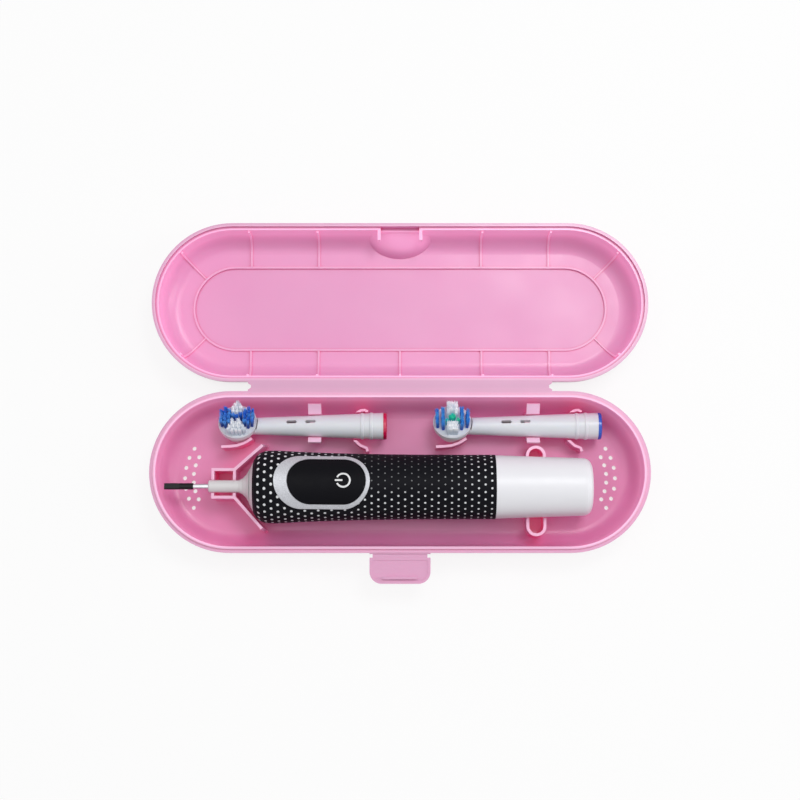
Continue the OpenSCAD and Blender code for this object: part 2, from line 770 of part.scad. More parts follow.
module housing_tube() {
    window = 8;
    color([0.93, 0.94, 0.95]) in_handle() difference() {
        lathe(concat([[tube_s, 0], [tube_s, grip_r - sleeve_t - 2 * slip]], grip_points(-sleeve_t - slip),
            [[body_s + slip, body_r]], corner_points, [[end_s, 0]]));
        bar(0, 2 * end_s, bore_r);
        linear_extrude(height = reach) oval(switch_s - window / 2, switch_s + window / 2 + 2, window);
    }
}

module neck_collar() {
    plug_l = 6;
    color([0.88, 0.89, 0.9]) in_handle() difference() {
        union() {
            translate([0, 0, shaft_rise]) lathe([[neck_s, 0], [neck_s, neck_d / 2 - 0.4], [neck_s + 0.4, neck_d / 2],
                [cone_s, neck_d / 2], [cone_s + 1.8, neck_d / 2 + 0.8], [cone_s + 3.6, neck_d / 2 + 2.6],
                [cone_s + 5, neck_d / 2 + 5], [cone_s + 5, 0]]);
            lathe([[cone_s + 4.6, 0], [cone_s + 4.6, cone_r - 4.6], [cone_s + 5.6, cone_r - 2.4], [grip_s, cone_r],
                [tube_s - slip, grip_r - sleeve_t - 3 * slip], [tube_s - slip, bore_r - slip],
                [tube_s + plug_l, bore_r - slip], [tube_s + plug_l, 0]]);
        }
        translate([0, 0, shaft_rise]) {
            bar(0, 2 * end_s, shaft_d / 2 + 0.4);
            bar(neck_s - 1, 4, 2.1);
            bar(cone_s - 3, reach, 2.3);
        }
        bar(tube_s + 1, reach, bore_r - 1.8);
    }
}

module shaft_seal() {
    color([0.2, 0.2, 0.21]) in_handle() translate([0, 0, shaft_rise]) difference() {
        bar(neck_s + 0.1, 2.8, 2.1 - slip);
        bar(0, reach, shaft_d / 2 + slip);
    }
}

module front_bush() {
    color([0.75, 0.6, 0.3]) in_handle() translate([0, 0, shaft_rise]) difference() {
        bar(cone_s - 3 + slip, 6, 2.3 - slip);
        bar(0, reach, shaft_d / 2 + slip);
    }
}

module rear_bush() {
    color([0.75, 0.6, 0.3]) in_handle() translate([0, 0, shaft_rise]) difference() {
        bar(front_plate_s, 3, 2.3 - slip);
        bar(0, 2 * reach, shaft_d / 2 + slip);
    }
}

module button_bezel() {
    color([0.86, 0.87, 0.89]) in_handle() difference() {
        intersection() {
            skin_block(bezel_rise);
            button_block(bezel_side, bezel_wide, bezel_side);
        }
        skin_block(-sleeve_t + slip);
        button_block(0, 0, 0);
    }
}

module button_pad() {
    color([0.08, 0.08, 0.09]) in_handle() {
        difference() {
            intersection() {
                skin_block(button_rise);
                button_block(-button_play, -button_play, -button_play);
            }
            skin_block(button_rise - button_t);
        }
        translate([switch_s + 3, 0, board_z + board_t + 1.1 + button_travel + slip])
            cylinder(h = grip_r - board_z - 4, r = 1.6);
    }
}

module power_symbol() {
    mid = button_at + symbol_at;
    color([0.92, 0.93, 0.94]) in_handle() intersection() {
        difference() {
            skin_block(button_rise + 0.18);
            skin_block(button_rise + 0.02);
        }
        translate([mid, 0, 0]) linear_extrude(height = reach) {
            difference() {
                circle(symbol_r);
                circle(symbol_r - symbol_w);
                polygon([[0, 0], [-2 * symbol_r, symbol_r], [-2 * symbol_r, -symbol_r]]);
            }
            translate([-symbol_r - 0.3, -symbol_w / 2]) square([symbol_r, symbol_w]);
        }
    }
}

// The chassis: a sled that carries the bush, gears, motor and cell, with the board on its flat top
module chassis() {
    l = cell_s + cell_l + 3 - front_plate_s;
    pocket = motor_flat / 2 + 0.2;
    color([0.8, 0.82, 0.84]) in_handle() difference() {
        bar(front_plate_s, l, chassis_r);
        translate([front_plate_s - 1, -reach / 2, board_z - 0.1]) cube([l + 2, reach, reach]);
        translate([front_plate_s + 3, -chassis_r + 2.2, -chassis_r + 2.4])
            cube([plate_s - front_plate_s - 3, 2 * chassis_r - 4.4, reach]);
        translate([plate_s + 2, -motor_r - 0.1, motor_rise - pocket]) cube([motor_l + 0.6, 2 * motor_r + 0.2, reach]);
        bar(cell_s - 0.6, cell_l + 1.2, cell_r + 0.15);
        translate([cell_s - 0.6, -cell_r - 0.15, 0]) cube([cell_l + 1.2, 2 * cell_r + 0.3, reach]);
        translate([0, 0, shaft_rise]) bar(front_plate_s - 1, 5, 2.3);
        translate([0, 0, motor_rise]) bar(plate_s - 1, 4, 2.6);
        translate([0, 0, crank_z]) bar(plate_s - 1, 2.6, axle_r + slip);
    }
}

module gear_axle() {
    color([0.7, 0.71, 0.73]) in_handle() translate([0, 0, crank_z]) bar(gear_s - 0.5, plate_s + 1.5 - gear_s, axle_r);
}

module motor() {
    color([0.72, 0.73, 0.75]) in_handle() translate([0, 0, motor_rise]) difference() {
        union() {
            intersection() {
                bar(motor_s, motor_l, motor_r);
                translate([motor_s, -motor_r, -motor_flat / 2]) cube([motor_l, 2 * motor_r, motor_flat]);
            }
            bar(motor_s - 1.4, 2, 2.4);
        }
        bar(motor_s - 2, 12, axle_r + axle_play);
    }
}

module battery() {
    color([0.35, 0.5, 0.42]) in_handle() union() {
        bar(cell_s, cell_l - 1.2, cell_r);
        bar(cell_s + cell_l - 1.2 - slip, 1.2, 2.7);
    }
}

module battery_tabs() {
    color([0.78, 0.78, 0.76]) in_handle() for (s = [cell_s - tab_t - 2 * slip, cell_s + cell_l + slip])
        translate([s, -cell_r / 3, -cell_r / 3]) cube([tab_t, 2 * cell_r / 3, 1.1 * cell_r]);
}

module circuit_board() {
    color([0.1, 0.4, 0.25]) in_handle() translate([front_plate_s + 0.5, -board_w / 2, board_z])
        cube([cell_s + cell_l - front_plate_s, board_w, board_t]);
}

module tact_switch() {
    color([0.3, 0.3, 0.32]) in_handle() translate([switch_s + 3, 0, board_z + board_t]) union() {
        translate([-2.2, -2.2, 0]) cube([4.4, 4.4, 0.8]);
        cylinder(h = 1.1, r = 1.2);
    }
}

module charge_coil() {
    color([0.72, 0.42, 0.2]) in_handle() difference() {
        bar(end_s - 5 - coil_l, coil_l, coil_r);
        bar(0, 2 * end_s, socket_r + 1.1);
    }
}

// The cap closes the housing's bore and holds the socket for a charger's pin
module base_cap() {
    groove_s = end_s - 3.4;
    color([0.93, 0.94, 0.95]) in_handle() difference() {
        union() {
            intersection() {
                lathe(concat([[end_s - 5, 0], [end_s - 5, body_end_r]], corner_points, [[end_s, 0]]));
                bar(end_s - 5 + slip, 6, bore_r - slip);
            }
            bar(end_s - socket_l - 1.5, socket_l, socket_r + 1);
        }
        bar(end_s - socket_l, socket_l + 1, socket_r);
        translate([groove_s, 0, 0]) rotate([0, 90, 0]) rotate_extrude()
            translate([bore_r - 1.4, -0.7]) square([2, 1.4]);
    }
}

module base_seal() {
    color([0.15, 0.15, 0.16]) in_handle() translate([end_s - 3.4, 0, 0]) rotate([0, 90, 0])
        rotate_extrude() translate([bore_r - 0.7, 0]) circle(0.6, $fn = 32);
}

// ---- drive ----

module drive_shaft() {
    color([0.75, 0.76, 0.78]) in_handle() translate([0, 0, shaft_rise])
        bar(tip_l - 6 + slip, rocker_s + 3 - tip_l + 6, shaft_d / 2);
}

module shaft_tip() {
    flat_l = 7;
    color([0.06, 0.06, 0.07]) in_handle() translate([0, 0, shaft_rise]) difference() {
        bar(0, tip_l, tip_d / 2);
        bar(tip_l - 6, 7, shaft_d / 2 + slip / 2);
        translate([-1, -tip_d, tip_d / 2 - 0.5]) cube([flat_l + 1, 2 * tip_d, tip_d]);
    }
}

// A lever on the drive shaft whose slot takes the crank pin
module rocker() {
    arm = shaft_rise - crank_z;
    color([0.85, 0.85, 0.8]) in_handle() translate([0, 0, shaft_rise]) plate(rocker_s, 2.4) difference() {
        union() {
            circle(2.4);
            translate([-2.2, -arm - 3.4]) square([4.4, arm + 3.4]);
        }
        circle(shaft_d / 2 + slip / 2);
        translate([-0.9, -arm - 2.9]) square([1.8, 5.8]);
    }
}

// Flank of an involute tooth: polar points from the base circle out to the tip circle
function flank(rb, ra) = let (t1 = sqrt(pow(ra / rb, 2) - 1)) [for (i = [0 : 4])
    let (t = t1 * i / 4) [rb * sqrt(1 + t * t), (t * 180 / PI) - atan(t)]];
function polar(r, a) = [r * cos(a), r * sin(a)];

module spur_gear(n) {
    pressure = 20;
    rp = gear_m * n / 2;
    rb = rp * cos(pressure);
    ra = rp + 0.8 * gear_m;
    rf = rp - 1.2 * gear_m;
    half = 90 / n - backlash * crank_n / n / 4 + (tan(pressure) * 180 / PI - pressure);
    side = flank(rb, ra);
    polygon([for (k = [0 : n - 1]) each concat(
        [polar(min(rf, rb), 360 * k / n - half)],
        [for (i = [0 : 4]) polar(side[i][0], 360 * k / n - half + side[i][1])],
        [for (i = [4 : -1 : 0]) polar(side[i][0], 360 * k / n + half - side[i][1])],
        [polar(min(rf, rb), 360 * k / n + half)])]);
}

module motor_pinion() {
    color([0.8, 0.7, 0.4]) in_handle() translate([0, 0, motor_rise]) union() {
        plate(gear_s, gear_w) rotate(180 / pinion_n - 90) spur_gear(pinion_n);
        bar(gear_s + gear_w - slip, 9, axle_r);
    }
}

module crank_gear() {
    arm = shaft_rise - crank_z;
    pin_off = arm * sin(25);
    color([0.9, 0.9, 0.86]) in_handle() translate([0, 0, crank_z]) {
        plate(gear_s, gear_w) difference() {
            rotate(90) spur_gear(crank_n);
            circle(axle_r + axle_play);
        }
        translate([0, 0, -pin_off]) bar(gear_s - 1.2, 1.2 + slip, 0.8);
    }
}

// ---- brush heads ----

module head_stem(x) {
    band_h = 0.35;
    color([0.93, 0.94, 0.95]) in_head(x) difference() {
        union() {
            lathe([[4, 0], [4, stem_r0 - 0.6], [stem_s - 2, stem_r0], [stem_s, stem_r0], [stem_end, stem_r1],
                [stem_end, 0]]);
            translate([0, 0, cup_bottom]) cylinder(h = cup_top - cup_bottom, r = cup_r);
            for (s = [head_l - 12.1, head_l - 7.9]) lathe([[s, 0], [s, stem_radius(s) + 0.1],
                [s + 0.4, stem_radius(s) + band_h], [s + 1.2, stem_radius(s) + band_h],
                [s + 1.6, stem_radius(s) + 0.1], [s + 1.6, 0]]);
        }
        translate([0, 0, cup_top]) cylinder(h = reach, r = disc_r + 0.5);
        translate([0, 0, cup_floor]) cylinder(h = reach, r = hub_r + 0.8);
        bar(4, neck_socket_s - 4 + 1, channel_r);
        bar(neck_socket_s, reach, neck_d / 2 + 2 * slip);
        for (s = [22.4, 31.1]) rotate([5, 0, 0]) linear_extrude(height = reach) oval(s, s + 4.8, 1.5);
        translate([0, 0, cup_bottom - 1]) cylinder(h = 3, r = pin_r + slip);
    }
}

module head_ring(x, tint) {
    color(tint) in_head(x) difference() {
        lathe([[stem_end + slip, 0], [stem_end + slip, stem_r1], [head_l - 0.3, stem_r1], [head_l, stem_r1 - 0.3],
            [head_l, 0]]);
        bar(0, 2 * head_l, neck_d / 2 + 0.4);
    }
}

module disc_pin(x) {
    color([0.7, 0.71, 0.73]) in_head(x) translate([0, 0, cup_bottom]) cylinder(h = -cup_bottom + 1, r = pin_r);
}

// The link: a sleeve for the drive shaft's tip, with a rod that turns the disc
module drive_link(x) {
    tip_s = neck_socket_s - neck_s;
    color([0.85, 0.86, 0.82]) in_head(x) {
        difference() {
            bar(tip_s - 1.2, neck_s + 0.8, link_r);
            bar(tip_s - 0.2, reach, tip_d / 2 + slip);
        }
        translate([0, 0, -rod_off]) bar(1.8, tip_s - 2.8, rod_d / 2);
    }
}

module brush_disc(x) {
    slot_from = pin_r + 0.5;
    slot_w = rod_d + 0.4;
    slot_wide = slot_w + 0.7 * hub_r;
    color([0.95, 0.96, 0.97]) in_head(x) difference() {
        union() {
            translate([0, 0, disc_z]) cylinder(h = disc_t, r = disc_r);
            translate([0, 0, hub_bottom]) cylinder(h = disc_z + 0.5 - hub_bottom, r = hub_r);
        }
        translate([0, 0, disc_z + disc_t - slice_t]) cylinder(h = reach, r = field_r + slip);
        translate([0, 0, hub_bottom - 1]) cylinder(h = 1 + 1.2 - hub_bottom, r = pin_r + slip);
        translate([0, 0, hub_bottom - 1]) linear_extrude(height = 2.7)
            polygon([[slot_from, -slot_w / 2], [slot_from + hub_r, -slot_wide / 2],
                [slot_from + hub_r, slot_wide / 2], [slot_from, slot_w / 2]]);
    }
}

// Tuft places on the left head: blue banks at the sides and a blue bar across, white elsewhere
bank_x = [4.3, 6.1];
outer_rows = [-2.7, -0.9, 0.9, 2.7];
function bank_rows(x) = x < 5 ? [-3.6, -1.6, 0.4, 2.4, 4.4] : outer_rows;
blue_left = concat(
    [for (side = [-1, 1], x = bank_x, y = bank_rows(x)) [side * x, y]],
    [for (x = [-1.9, 0, 1.9]) [x, 0.4]]);
white_left = concat(
    [for (x = [-3, -1, 1, 3]) [x, 6.1]], [for (x = [-2, 0, 2]) [x, 4.2]], [[-1, 2.4], [1, 2.4]],
    [for (x = [-2, 0, 2], y = [-2.2, -4.2]) [x, y]],
    [for (x = [-3, -1, 1, 3]) [x, -6.1]]);

// Tuft places on the right head: two blue rows at each side, a green middle and white between
blue_right = [for (side = [-1, 1], x = bank_x, y = x < 5 ? [-4.6, -2.8, -1, 0.8, 2.6, 4.4] : outer_rows)
    [side * x, y]];
green_right = [[0, 0], [-1.72, 0], [1.72, 0], [0, -1.72], [0, 1.72]];
white_right = concat(
    [for (x = [-2.05, 0, 2.05]) [x, 3.45]], [for (x = [-1.9, 0.05, 1.95]) [x, 5.2]], [for (x = [-1, 1]) [x, 6.85]],
    [for (x = [-2, 0.05, 2]) [x, -3.45]], [for (x = [-1.95, 0, 1.9]) [x, -5.2]], [for (x = [-1.05, 0.95]) [x, -6.85]]);

// Strands of some tufts, leaning outwards from the disc's axis, without the one on which they stand
module strands(tufts, z0) {
    lean = flare / bristle_l;
    for (tuft = tufts, i = [-0.5, 0.5], j = [-0.5, 0.5]) {
        p = tuft + strand_gap * [i, j];
        translate([p[0], p[1], z0]) multmatrix([[1, 0, lean * p[0], 0], [0, 1, lean * p[1], 0], [0, 0, 1, 0], [0, 0, 0, 1]])
            translate([-strand_w / 2, -strand_w / 2, 0]) cube([strand_w, strand_w, bristle_l + slice_t / 2]);
    }
}

// A bristle field: the slice of backing given as a child, with its strands, set to its full height
module bristle_field(x, tufts, tint) {
    top = disc_z + disc_t;
    color(tint) in_head(x) translate([0, 0, top - slice_t]) resize([0, 0, bristle_l + slice_t]) union() {
        linear_extrude(height = slice_t) children();
        strands(tufts, slice_t / 2);
    }
}

module left_blue_plan() {
    intersection() {
        circle(field_r, $fn = 48);
        union() {
            for (side = [0, 1]) mirror([side, 0]) translate([3.4, -4.8]) square([disc_r, 10.1]);
            translate([-4, -0.6]) square([8, 2]);
        }
    }
}

module right_green_plan() {
    circle(2.6, $fn = 24);
}

module right_blue_plan() {
    difference() {
        circle(field_r, $fn = 48);
        translate([-bank_w / 2, -reach / 2]) square([bank_w, reach]);
    }
}

module head_stem_left() {
    head_stem(head_x_left);
}

module head_ring_left() {
    head_ring(head_x_left, [0.8, 0.05, 0.25]);
}

module disc_pin_left() {
    disc_pin(head_x_left);
}

module drive_link_left() {
    drive_link(head_x_left);
}

module brush_disc_left() {
    brush_disc(head_x_left);
}

module bristles_blue_left() {
    bristle_field(head_x_left, blue_left, [0.05, 0.25, 0.7]) left_blue_plan();
}

module bristles_white_left() {
    bristle_field(head_x_left, white_left, [0.95, 0.95, 0.97]) difference() {
        circle(field_r, $fn = 48);
        left_blue_plan();
    }
}

module head_stem_right() {
    head_stem(head_x_right);
}

module head_ring_right() {
    head_ring(head_x_right, [0.1, 0.3, 0.85]);
}

module disc_pin_right() {
    disc_pin(head_x_right);
}

module drive_link_right() {
    drive_link(head_x_right);
}

module brush_disc_right() {
    brush_disc(head_x_right);
}

module bristles_blue_right() {
    bristle_field(head_x_right, blue_right, [0.08, 0.35, 0.8]) right_blue_plan();
}

module bristles_white_right() {
    bristle_field(head_x_right, white_right, [0.95, 0.95, 0.97]) difference() {
        intersection() {
            circle(field_r, $fn = 48);
            translate([-bank_w / 2, -reach / 2]) square([bank_w, reach]);
        }
        right_green_plan();
    }
}

module bristles_green_right() {
    bristle_field(head_x_right, green_right, [0.1, 0.7, 0.55]) right_green_plan();
}

base_shell();
neck_cradle();
handle_saddle();
head_clip_left();
head_clip_right();
disc_hook_left();
disc_hook_right();
ring_hook_left();
ring_hook_right();
lid_hinge_film();
latch_hinge_film();
lid_shell();
latch_flap();
housing_tube();
grip_sleeve();
neck_collar();
shaft_seal();
front_bush();
rear_bush();
button_bezel();
chassis();
gear_axle();
motor();
battery();
battery_tabs();
circuit_board();
tact_switch();
charge_coil();
base_cap();
base_seal();
button_pad();
power_symbol();
drive_shaft();
shaft_tip();
rocker();
motor_pinion();
crank_gear();
head_stem_left();
head_ring_left();
disc_pin_left();
drive_link_left();
brush_disc_left();
bristles_blue_left();
bristles_white_left();
head_stem_right();
head_ring_right();
disc_pin_right();
drive_link_right();
brush_disc_right();
bristles_blue_right();
bristles_white_right();
bristles_green_right();
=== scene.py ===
# %% [markdown]
# # A toothbrush travel case, dressed for its portrait
# The real object is an open case of thin pink plastic, with an electric toothbrush handle and
# two spare brush heads clipped into it. The CAD model gives the exact shapes, but no finish.
# It could be modelled again in Blender, but then looks and motion would drift apart. So the
# CAD comes in as a fixed frame, and each step below adds one thing: finishes, bristles,
# films for the hinges, then the studio. Lengths are in metres unless a name ends in _MM or _mm.

# %% Load the frame
import json
import math
import bpy
from mathutils import Matrix, Vector


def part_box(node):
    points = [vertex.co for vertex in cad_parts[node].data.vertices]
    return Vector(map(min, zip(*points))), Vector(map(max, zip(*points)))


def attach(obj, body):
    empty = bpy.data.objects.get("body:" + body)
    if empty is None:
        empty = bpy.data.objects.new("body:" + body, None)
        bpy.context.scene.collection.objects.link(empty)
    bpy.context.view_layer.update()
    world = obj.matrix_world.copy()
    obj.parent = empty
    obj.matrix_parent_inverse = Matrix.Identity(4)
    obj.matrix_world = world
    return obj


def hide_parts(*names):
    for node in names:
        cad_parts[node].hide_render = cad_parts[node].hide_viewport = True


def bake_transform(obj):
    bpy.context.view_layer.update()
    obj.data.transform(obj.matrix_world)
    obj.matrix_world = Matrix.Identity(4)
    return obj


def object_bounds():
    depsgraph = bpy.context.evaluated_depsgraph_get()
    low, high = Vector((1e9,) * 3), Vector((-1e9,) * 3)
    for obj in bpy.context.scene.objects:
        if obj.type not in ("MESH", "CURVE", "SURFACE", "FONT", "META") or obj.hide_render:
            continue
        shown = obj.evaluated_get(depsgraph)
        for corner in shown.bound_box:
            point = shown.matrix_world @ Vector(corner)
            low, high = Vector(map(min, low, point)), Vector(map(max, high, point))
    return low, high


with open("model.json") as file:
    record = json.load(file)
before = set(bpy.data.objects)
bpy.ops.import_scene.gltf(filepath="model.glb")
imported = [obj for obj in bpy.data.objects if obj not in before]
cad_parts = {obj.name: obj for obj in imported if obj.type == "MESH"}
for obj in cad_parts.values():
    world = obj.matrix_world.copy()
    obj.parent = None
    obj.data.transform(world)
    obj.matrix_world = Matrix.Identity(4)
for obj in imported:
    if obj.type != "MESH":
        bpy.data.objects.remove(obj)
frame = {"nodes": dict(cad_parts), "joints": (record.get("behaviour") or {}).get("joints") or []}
CAD_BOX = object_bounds()
MM = 0.001

# %% [markdown]
# ## Numbers that read like sums
# A finish is a small program made of nodes. Nodes can be placed one by one, but a formula of
# ten Math nodes is hard to read that way. `Value` wraps the output of a node, so that
# `a * 2 + b` adds the Math nodes by itself, and `ramp` fades a mask in between two numbers.

# %% Node helpers
class Value:
    """One number in a node tree, with the usual operators."""

    def __init__(self, tree, socket):
        self.tree, self.socket = tree, socket

    def math(self, operation, *others, clamp=False):
        numbers = enumerate((self,) + others)
        made = self.tree.add("ShaderNodeMath", numbers, operation=operation, use_clamp=clamp)
        return Value(self.tree, made.outputs[0])

    def __add__(self, other): return self.math("ADD", other)
    __radd__ = __add__
    def __mul__(self, other): return self.math("MULTIPLY", other)
    __rmul__ = __mul__
    def __sub__(self, other): return self.math("SUBTRACT", other)
    def __rsub__(self, other): return self * -1 + other
    def __truediv__(self, other): return self.math("DIVIDE", other)

    def ramp(self, low, high, to_low=0.0, to_high=1.0):
        """Runs smoothly from to_low to to_high as the number goes from low to high."""
        ends = {"Value": self, "From Min": low, "From Max": high, "To Min": to_low, "To Max": to_high}
        made = self.tree.add("ShaderNodeMapRange", ends, interpolation_type="SMOOTHSTEP")
        return Value(self.tree, made.outputs[0])


class Tree:
    """A node tree being built: of a material, of the world or of Geometry Nodes."""

    def __init__(self, tree):
        self.tree = tree

    def add(self, kind, sockets=(), **settings):
        """Makes a node. Its settings come first, then its sockets get numbers, colours or links."""
        made = self.tree.nodes.new(kind)
        for name, choice in settings.items():
            setattr(made, name, choice)
        for name, item in dict(sockets).items():
            self.feed(made.inputs[name], item)
        return made

    def feed(self, slot, item):
        """Puts a number, a colour, a Value or another node's output into a socket."""
        source = item.socket if isinstance(item, Value) else item
        if isinstance(source, bpy.types.NodeSocket):
            self.tree.links.new(source, slot)
        else:
            slot.default_value = source


print("node helpers ready")

# %% [markdown]
# ## A material in the making
# Every surface here is paint, plastic, rubber or metal. One Principled shader can be all of
# them, so `Paint` starts from it and adds what varies: clouds of noise, a place in millimetres,
# and `shade`, the Ambient Occlusion node, which finds recesses and edges without painting them
# by hand. Patterns use Object coordinates, so they stay on a piece when it moves.

# %% Paint
MIX_SHARE, MIX_FIRST, MIX_SECOND, MIX_RESULT = 0, 6, 7, 2  # the Mix node's sockets for colours
SHADE_RAYS = 8


class Paint(Tree):
    """A material being built on one Principled shader."""

    def __init__(self, name, colour, roughness=0.4, sockets=()):
        self.material = bpy.data.materials.new(name)
        self.material.use_nodes = True
        self.material.diffuse_color = (*colour, 1)
        super().__init__(self.material.node_tree)
        self.shader = self.tree.nodes["Principled BSDF"]
        self.give("Base Color", (*colour, 1))
        self.give("Roughness", roughness)
        for socket, number in dict(sockets).items():
            self.give(socket, number)
        self.place = self.add("ShaderNodeTexCoord").outputs["Object"]

    def give(self, socket, item):
        """Sets or links one socket of the shader."""
        self.feed(self.shader.inputs[socket], item)

    def xyz_mm(self):
        """The place on the piece, in millimetres."""
        made = self.add("ShaderNodeSeparateXYZ", {"Vector": self.place})
        return [Value(self, out) * 1000 for out in made.outputs]

    def noise(self, scale, detail=2.0):
        """Clouds from 0 to 1, with scale of them to a metre."""
        made = self.add("ShaderNodeTexNoise", {"Vector": self.place, "Scale": scale, "Detail": detail})
        return Value(self, made.outputs[0])

    def shade(self, reach_mm, inside=False):
        """1 in the open and 0 deep in a recess, or with inside 0 at an edge and in a thin wall."""
        made = self.add("ShaderNodeAmbientOcclusion", {"Distance": reach_mm * MM}, samples=SHADE_RAYS,
                        inside=inside)
        return Value(self, made.outputs["AO"])

    def blend(self, share, first, second):
        """A colour that goes from first to second as the share goes from 0 to 1."""
        colours = [(*item, 1) if isinstance(item, tuple) else item for item in (first, second)]
        sockets = {MIX_SHARE: share, MIX_FIRST: colours[0], MIX_SECOND: colours[1]}
        return self.add("ShaderNodeMix", sockets, data_type="RGBA").outputs[MIX_RESULT]

    def bump(self, height, depth_mm, strength):
        made = self.add("ShaderNodeBump", {"Height": height, "Distance": depth_mm * MM, "Strength": strength})
        self.give("Normal", made.outputs[0])


def times(colour, shares):
    """A colour with each channel made stronger or weaker."""
    return tuple(channel * share for channel, share in zip(colour, shares))


print("paint helpers ready")

# %% [markdown]
# ## Where a tray's wall and flange are
# Base and lid are trays with round ends: a floor that curves up into a wall, and a flange
# around the rim. Each zone catches light in its own way. The zones could be painted on the
# mesh as vertex groups, but a CAD mesh isn't edited. A formula finds them instead: how far
# a point lies out from the tray's middle line is the same all the way round the wall.

# %% The zones of a tray
RIM_R_MM = 36.8
STRAIGHT_MM = CAD_BOX[1][0] / MM - RIM_R_MM
LID_MIDDLE_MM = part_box("lid_shell")[1].y / MM - RIM_R_MM
# each pair says where a zone begins to fade in and where it's full, out from the middle line
WALL_STARTS_MM, WALL_STOPS_MM = (21.5, 28.5), (34.3, 34.8)
PAST_WALL_MM, FLANGE_MM = (34.4, 35.0), (RIM_R_MM - 1.5, RIM_R_MM - 0.1)
# and here up from the table, or along the case
WALL_HEIGHT_MM, FLANGE_HEIGHT_MM, ROUND_ENDS_MM = (1, 10), (18.5, 19.0), (68, 88)
FRONT_FADE_MM = 8


# These masks place painted light: a painted glow on the wall's inner face, and a darker copy of the painted top
# light on the flange.
def tray_zones(paint, middle_mm, lit_behind_mm=None):
    """Masks of what lies past the wall, of the flange and of the wall's inner face."""
    x, y, z = paint.xyz_mm()
    sideways = x.math("ABSOLUTE")
    along = (sideways - STRAIGHT_MM).math("MAXIMUM", 0.0)
    across = y - middle_mm
    out = (along * along + across * across).math("SQRT")
    flange = out.ramp(*FLANGE_MM) * z.ramp(*FLANGE_HEIGHT_MM)
    wall = out.ramp(*WALL_STARTS_MM) * out.ramp(*WALL_STOPS_MM, 1.0, 0.0) * z.ramp(*WALL_HEIGHT_MM)
    if lit_behind_mm is not None:
        lit = across.ramp(lit_behind_mm - FRONT_FADE_MM, lit_behind_mm) + sideways.ramp(*ROUND_ENDS_MM)
        wall = wall * lit.math("MINIMUM", 1.0)
    return out.ramp(*PAST_WALL_MM), flange, wall


print("tray ends start", round(STRAIGHT_MM, 2), "mm from the middle, lid middle at", round(LID_MIDDLE_MM, 2))

# %% [markdown]
# ## Translucent pink
# The case is polypropylene, a milky plastic that light passes into. Its top edges look pale,
# its recesses deep and reddish, and a wall with light behind it glows. Transmission would make
# it see-through, and subsurface light alone is too weak at this size. So light and shade are
# painted into the colour in layers, each with its own mask: painted light at the top and on thin
# edges, painted shade in the recesses and creases, and a little emission that stands for the
# light from behind.

# %% The layers of the pink
PINK_SOCKETS = {"Subsurface Weight": 0.12, "Subsurface Radius": (0.006, 0.002, 0.003), "Subsurface Scale": 1.0,
                "Coat Weight": 0.2, "Coat Roughness": 0.2, "Emission Strength": 1.0}
CREASE_REACH_MM, EDGE_REACH_MM = 1.6, 0.9
# painted shade in the creases, painted highlight on thin edges, painted glow of a lit wall
PAINTED_CREASE_SHADE, PAINTED_EDGE_LIGHT, LIT_WALL_PINK = (0.74, 0.07, 0.26), (0.95, 0.58, 0.76), (0.90, 0.43, 0.66)
CREASE_SHARE, EDGE_SHARE = 0.75, 0.55
CLOUDS_PER_M, CLOUD_SHARE = 24, 0.12
# painted shade: the flange gets a darker copy of the painted top light
FLANGE_SHADE_SHARES = (0.85, 0.77, 0.82)  # the flange lies lower than the rim and looks a little duller
BLACK = (0.0, 0.0, 0.0)


def pink_layers(paint, look, in_open):
    """Painted shade deep in the recesses, painted light pale at the top, soft clouds of tone, a painted highlight
    on thin edges and painted shade red in the creases.
    """
    height = paint.xyz_mm()[2]
    # painted shade: the recesses that Ambient Occlusion finds get the deep colour
    colour = paint.blend(in_open, look["deep"], look["main"])
    # painted light: the top of a piece is paler
    colour = paint.blend(height.ramp(*look["top_mm"]), colour, look["top"])
    cloud = paint.noise(CLOUDS_PER_M).ramp(0.3, 0.7, 0.0, CLOUD_SHARE)
    colour = paint.blend(cloud, colour, look["top"])
    # painted shade: a deep red line in the creases
    crease = paint.shade(CREASE_REACH_MM).ramp(0.3, 0.85, CREASE_SHARE, 0.0)
    colour = paint.blend(crease, colour, PAINTED_CREASE_SHADE)
    # painted highlight: thin edges and thin walls are paler
    edge = paint.shade(EDGE_REACH_MM, inside=True).ramp(0.25, 0.9, EDGE_SHARE, 0.0)
    return paint.blend(edge, colour, PAINTED_EDGE_LIGHT)


def pink(name, look):
    """The whole finish, with its painted light, shade and glow. A look with a "tray" also gets its flange and its
    lit wall.
    """
    paint = Paint(name, look["main"], 0.36, PINK_SOCKETS)
    # how open a place is: the recesses get the painted shade and the painted glow
    in_open = paint.shade(look["reach_mm"]).ramp(0.05, 0.7)
    if "tray" in look:
        past_wall, flange, wall = tray_zones(paint, *look["tray"])
        in_open = in_open.math("MAXIMUM", past_wall)
    colour = pink_layers(paint, look, in_open)
    # painted glow: the recesses give off a little of their deep colour, as light through the plastic
    glow = paint.blend(in_open, times(look["deep"], [look["glow"]] * 3), BLACK)
    if "tray" in look:
        # painted shade: the flange gets the painted top light, darker
        colour = paint.blend(flange, colour, times(look["top"], FLANGE_SHADE_SHARES))
        # painted glow on the wall's inner face, as from light behind it
        glow = paint.blend(wall, glow, times(LIT_WALL_PINK, [look["wall_glow"]] * 3))
    paint.give("Base Color", colour)
    paint.give("Emission Color", glow)
    paint.give("Roughness", paint.noise(60, 4).ramp(0.3, 0.7, 0.31, 0.41))
    paint.bump(paint.noise(2600), 0.03, 0.35)
    return paint.material


print("pink layers ready")
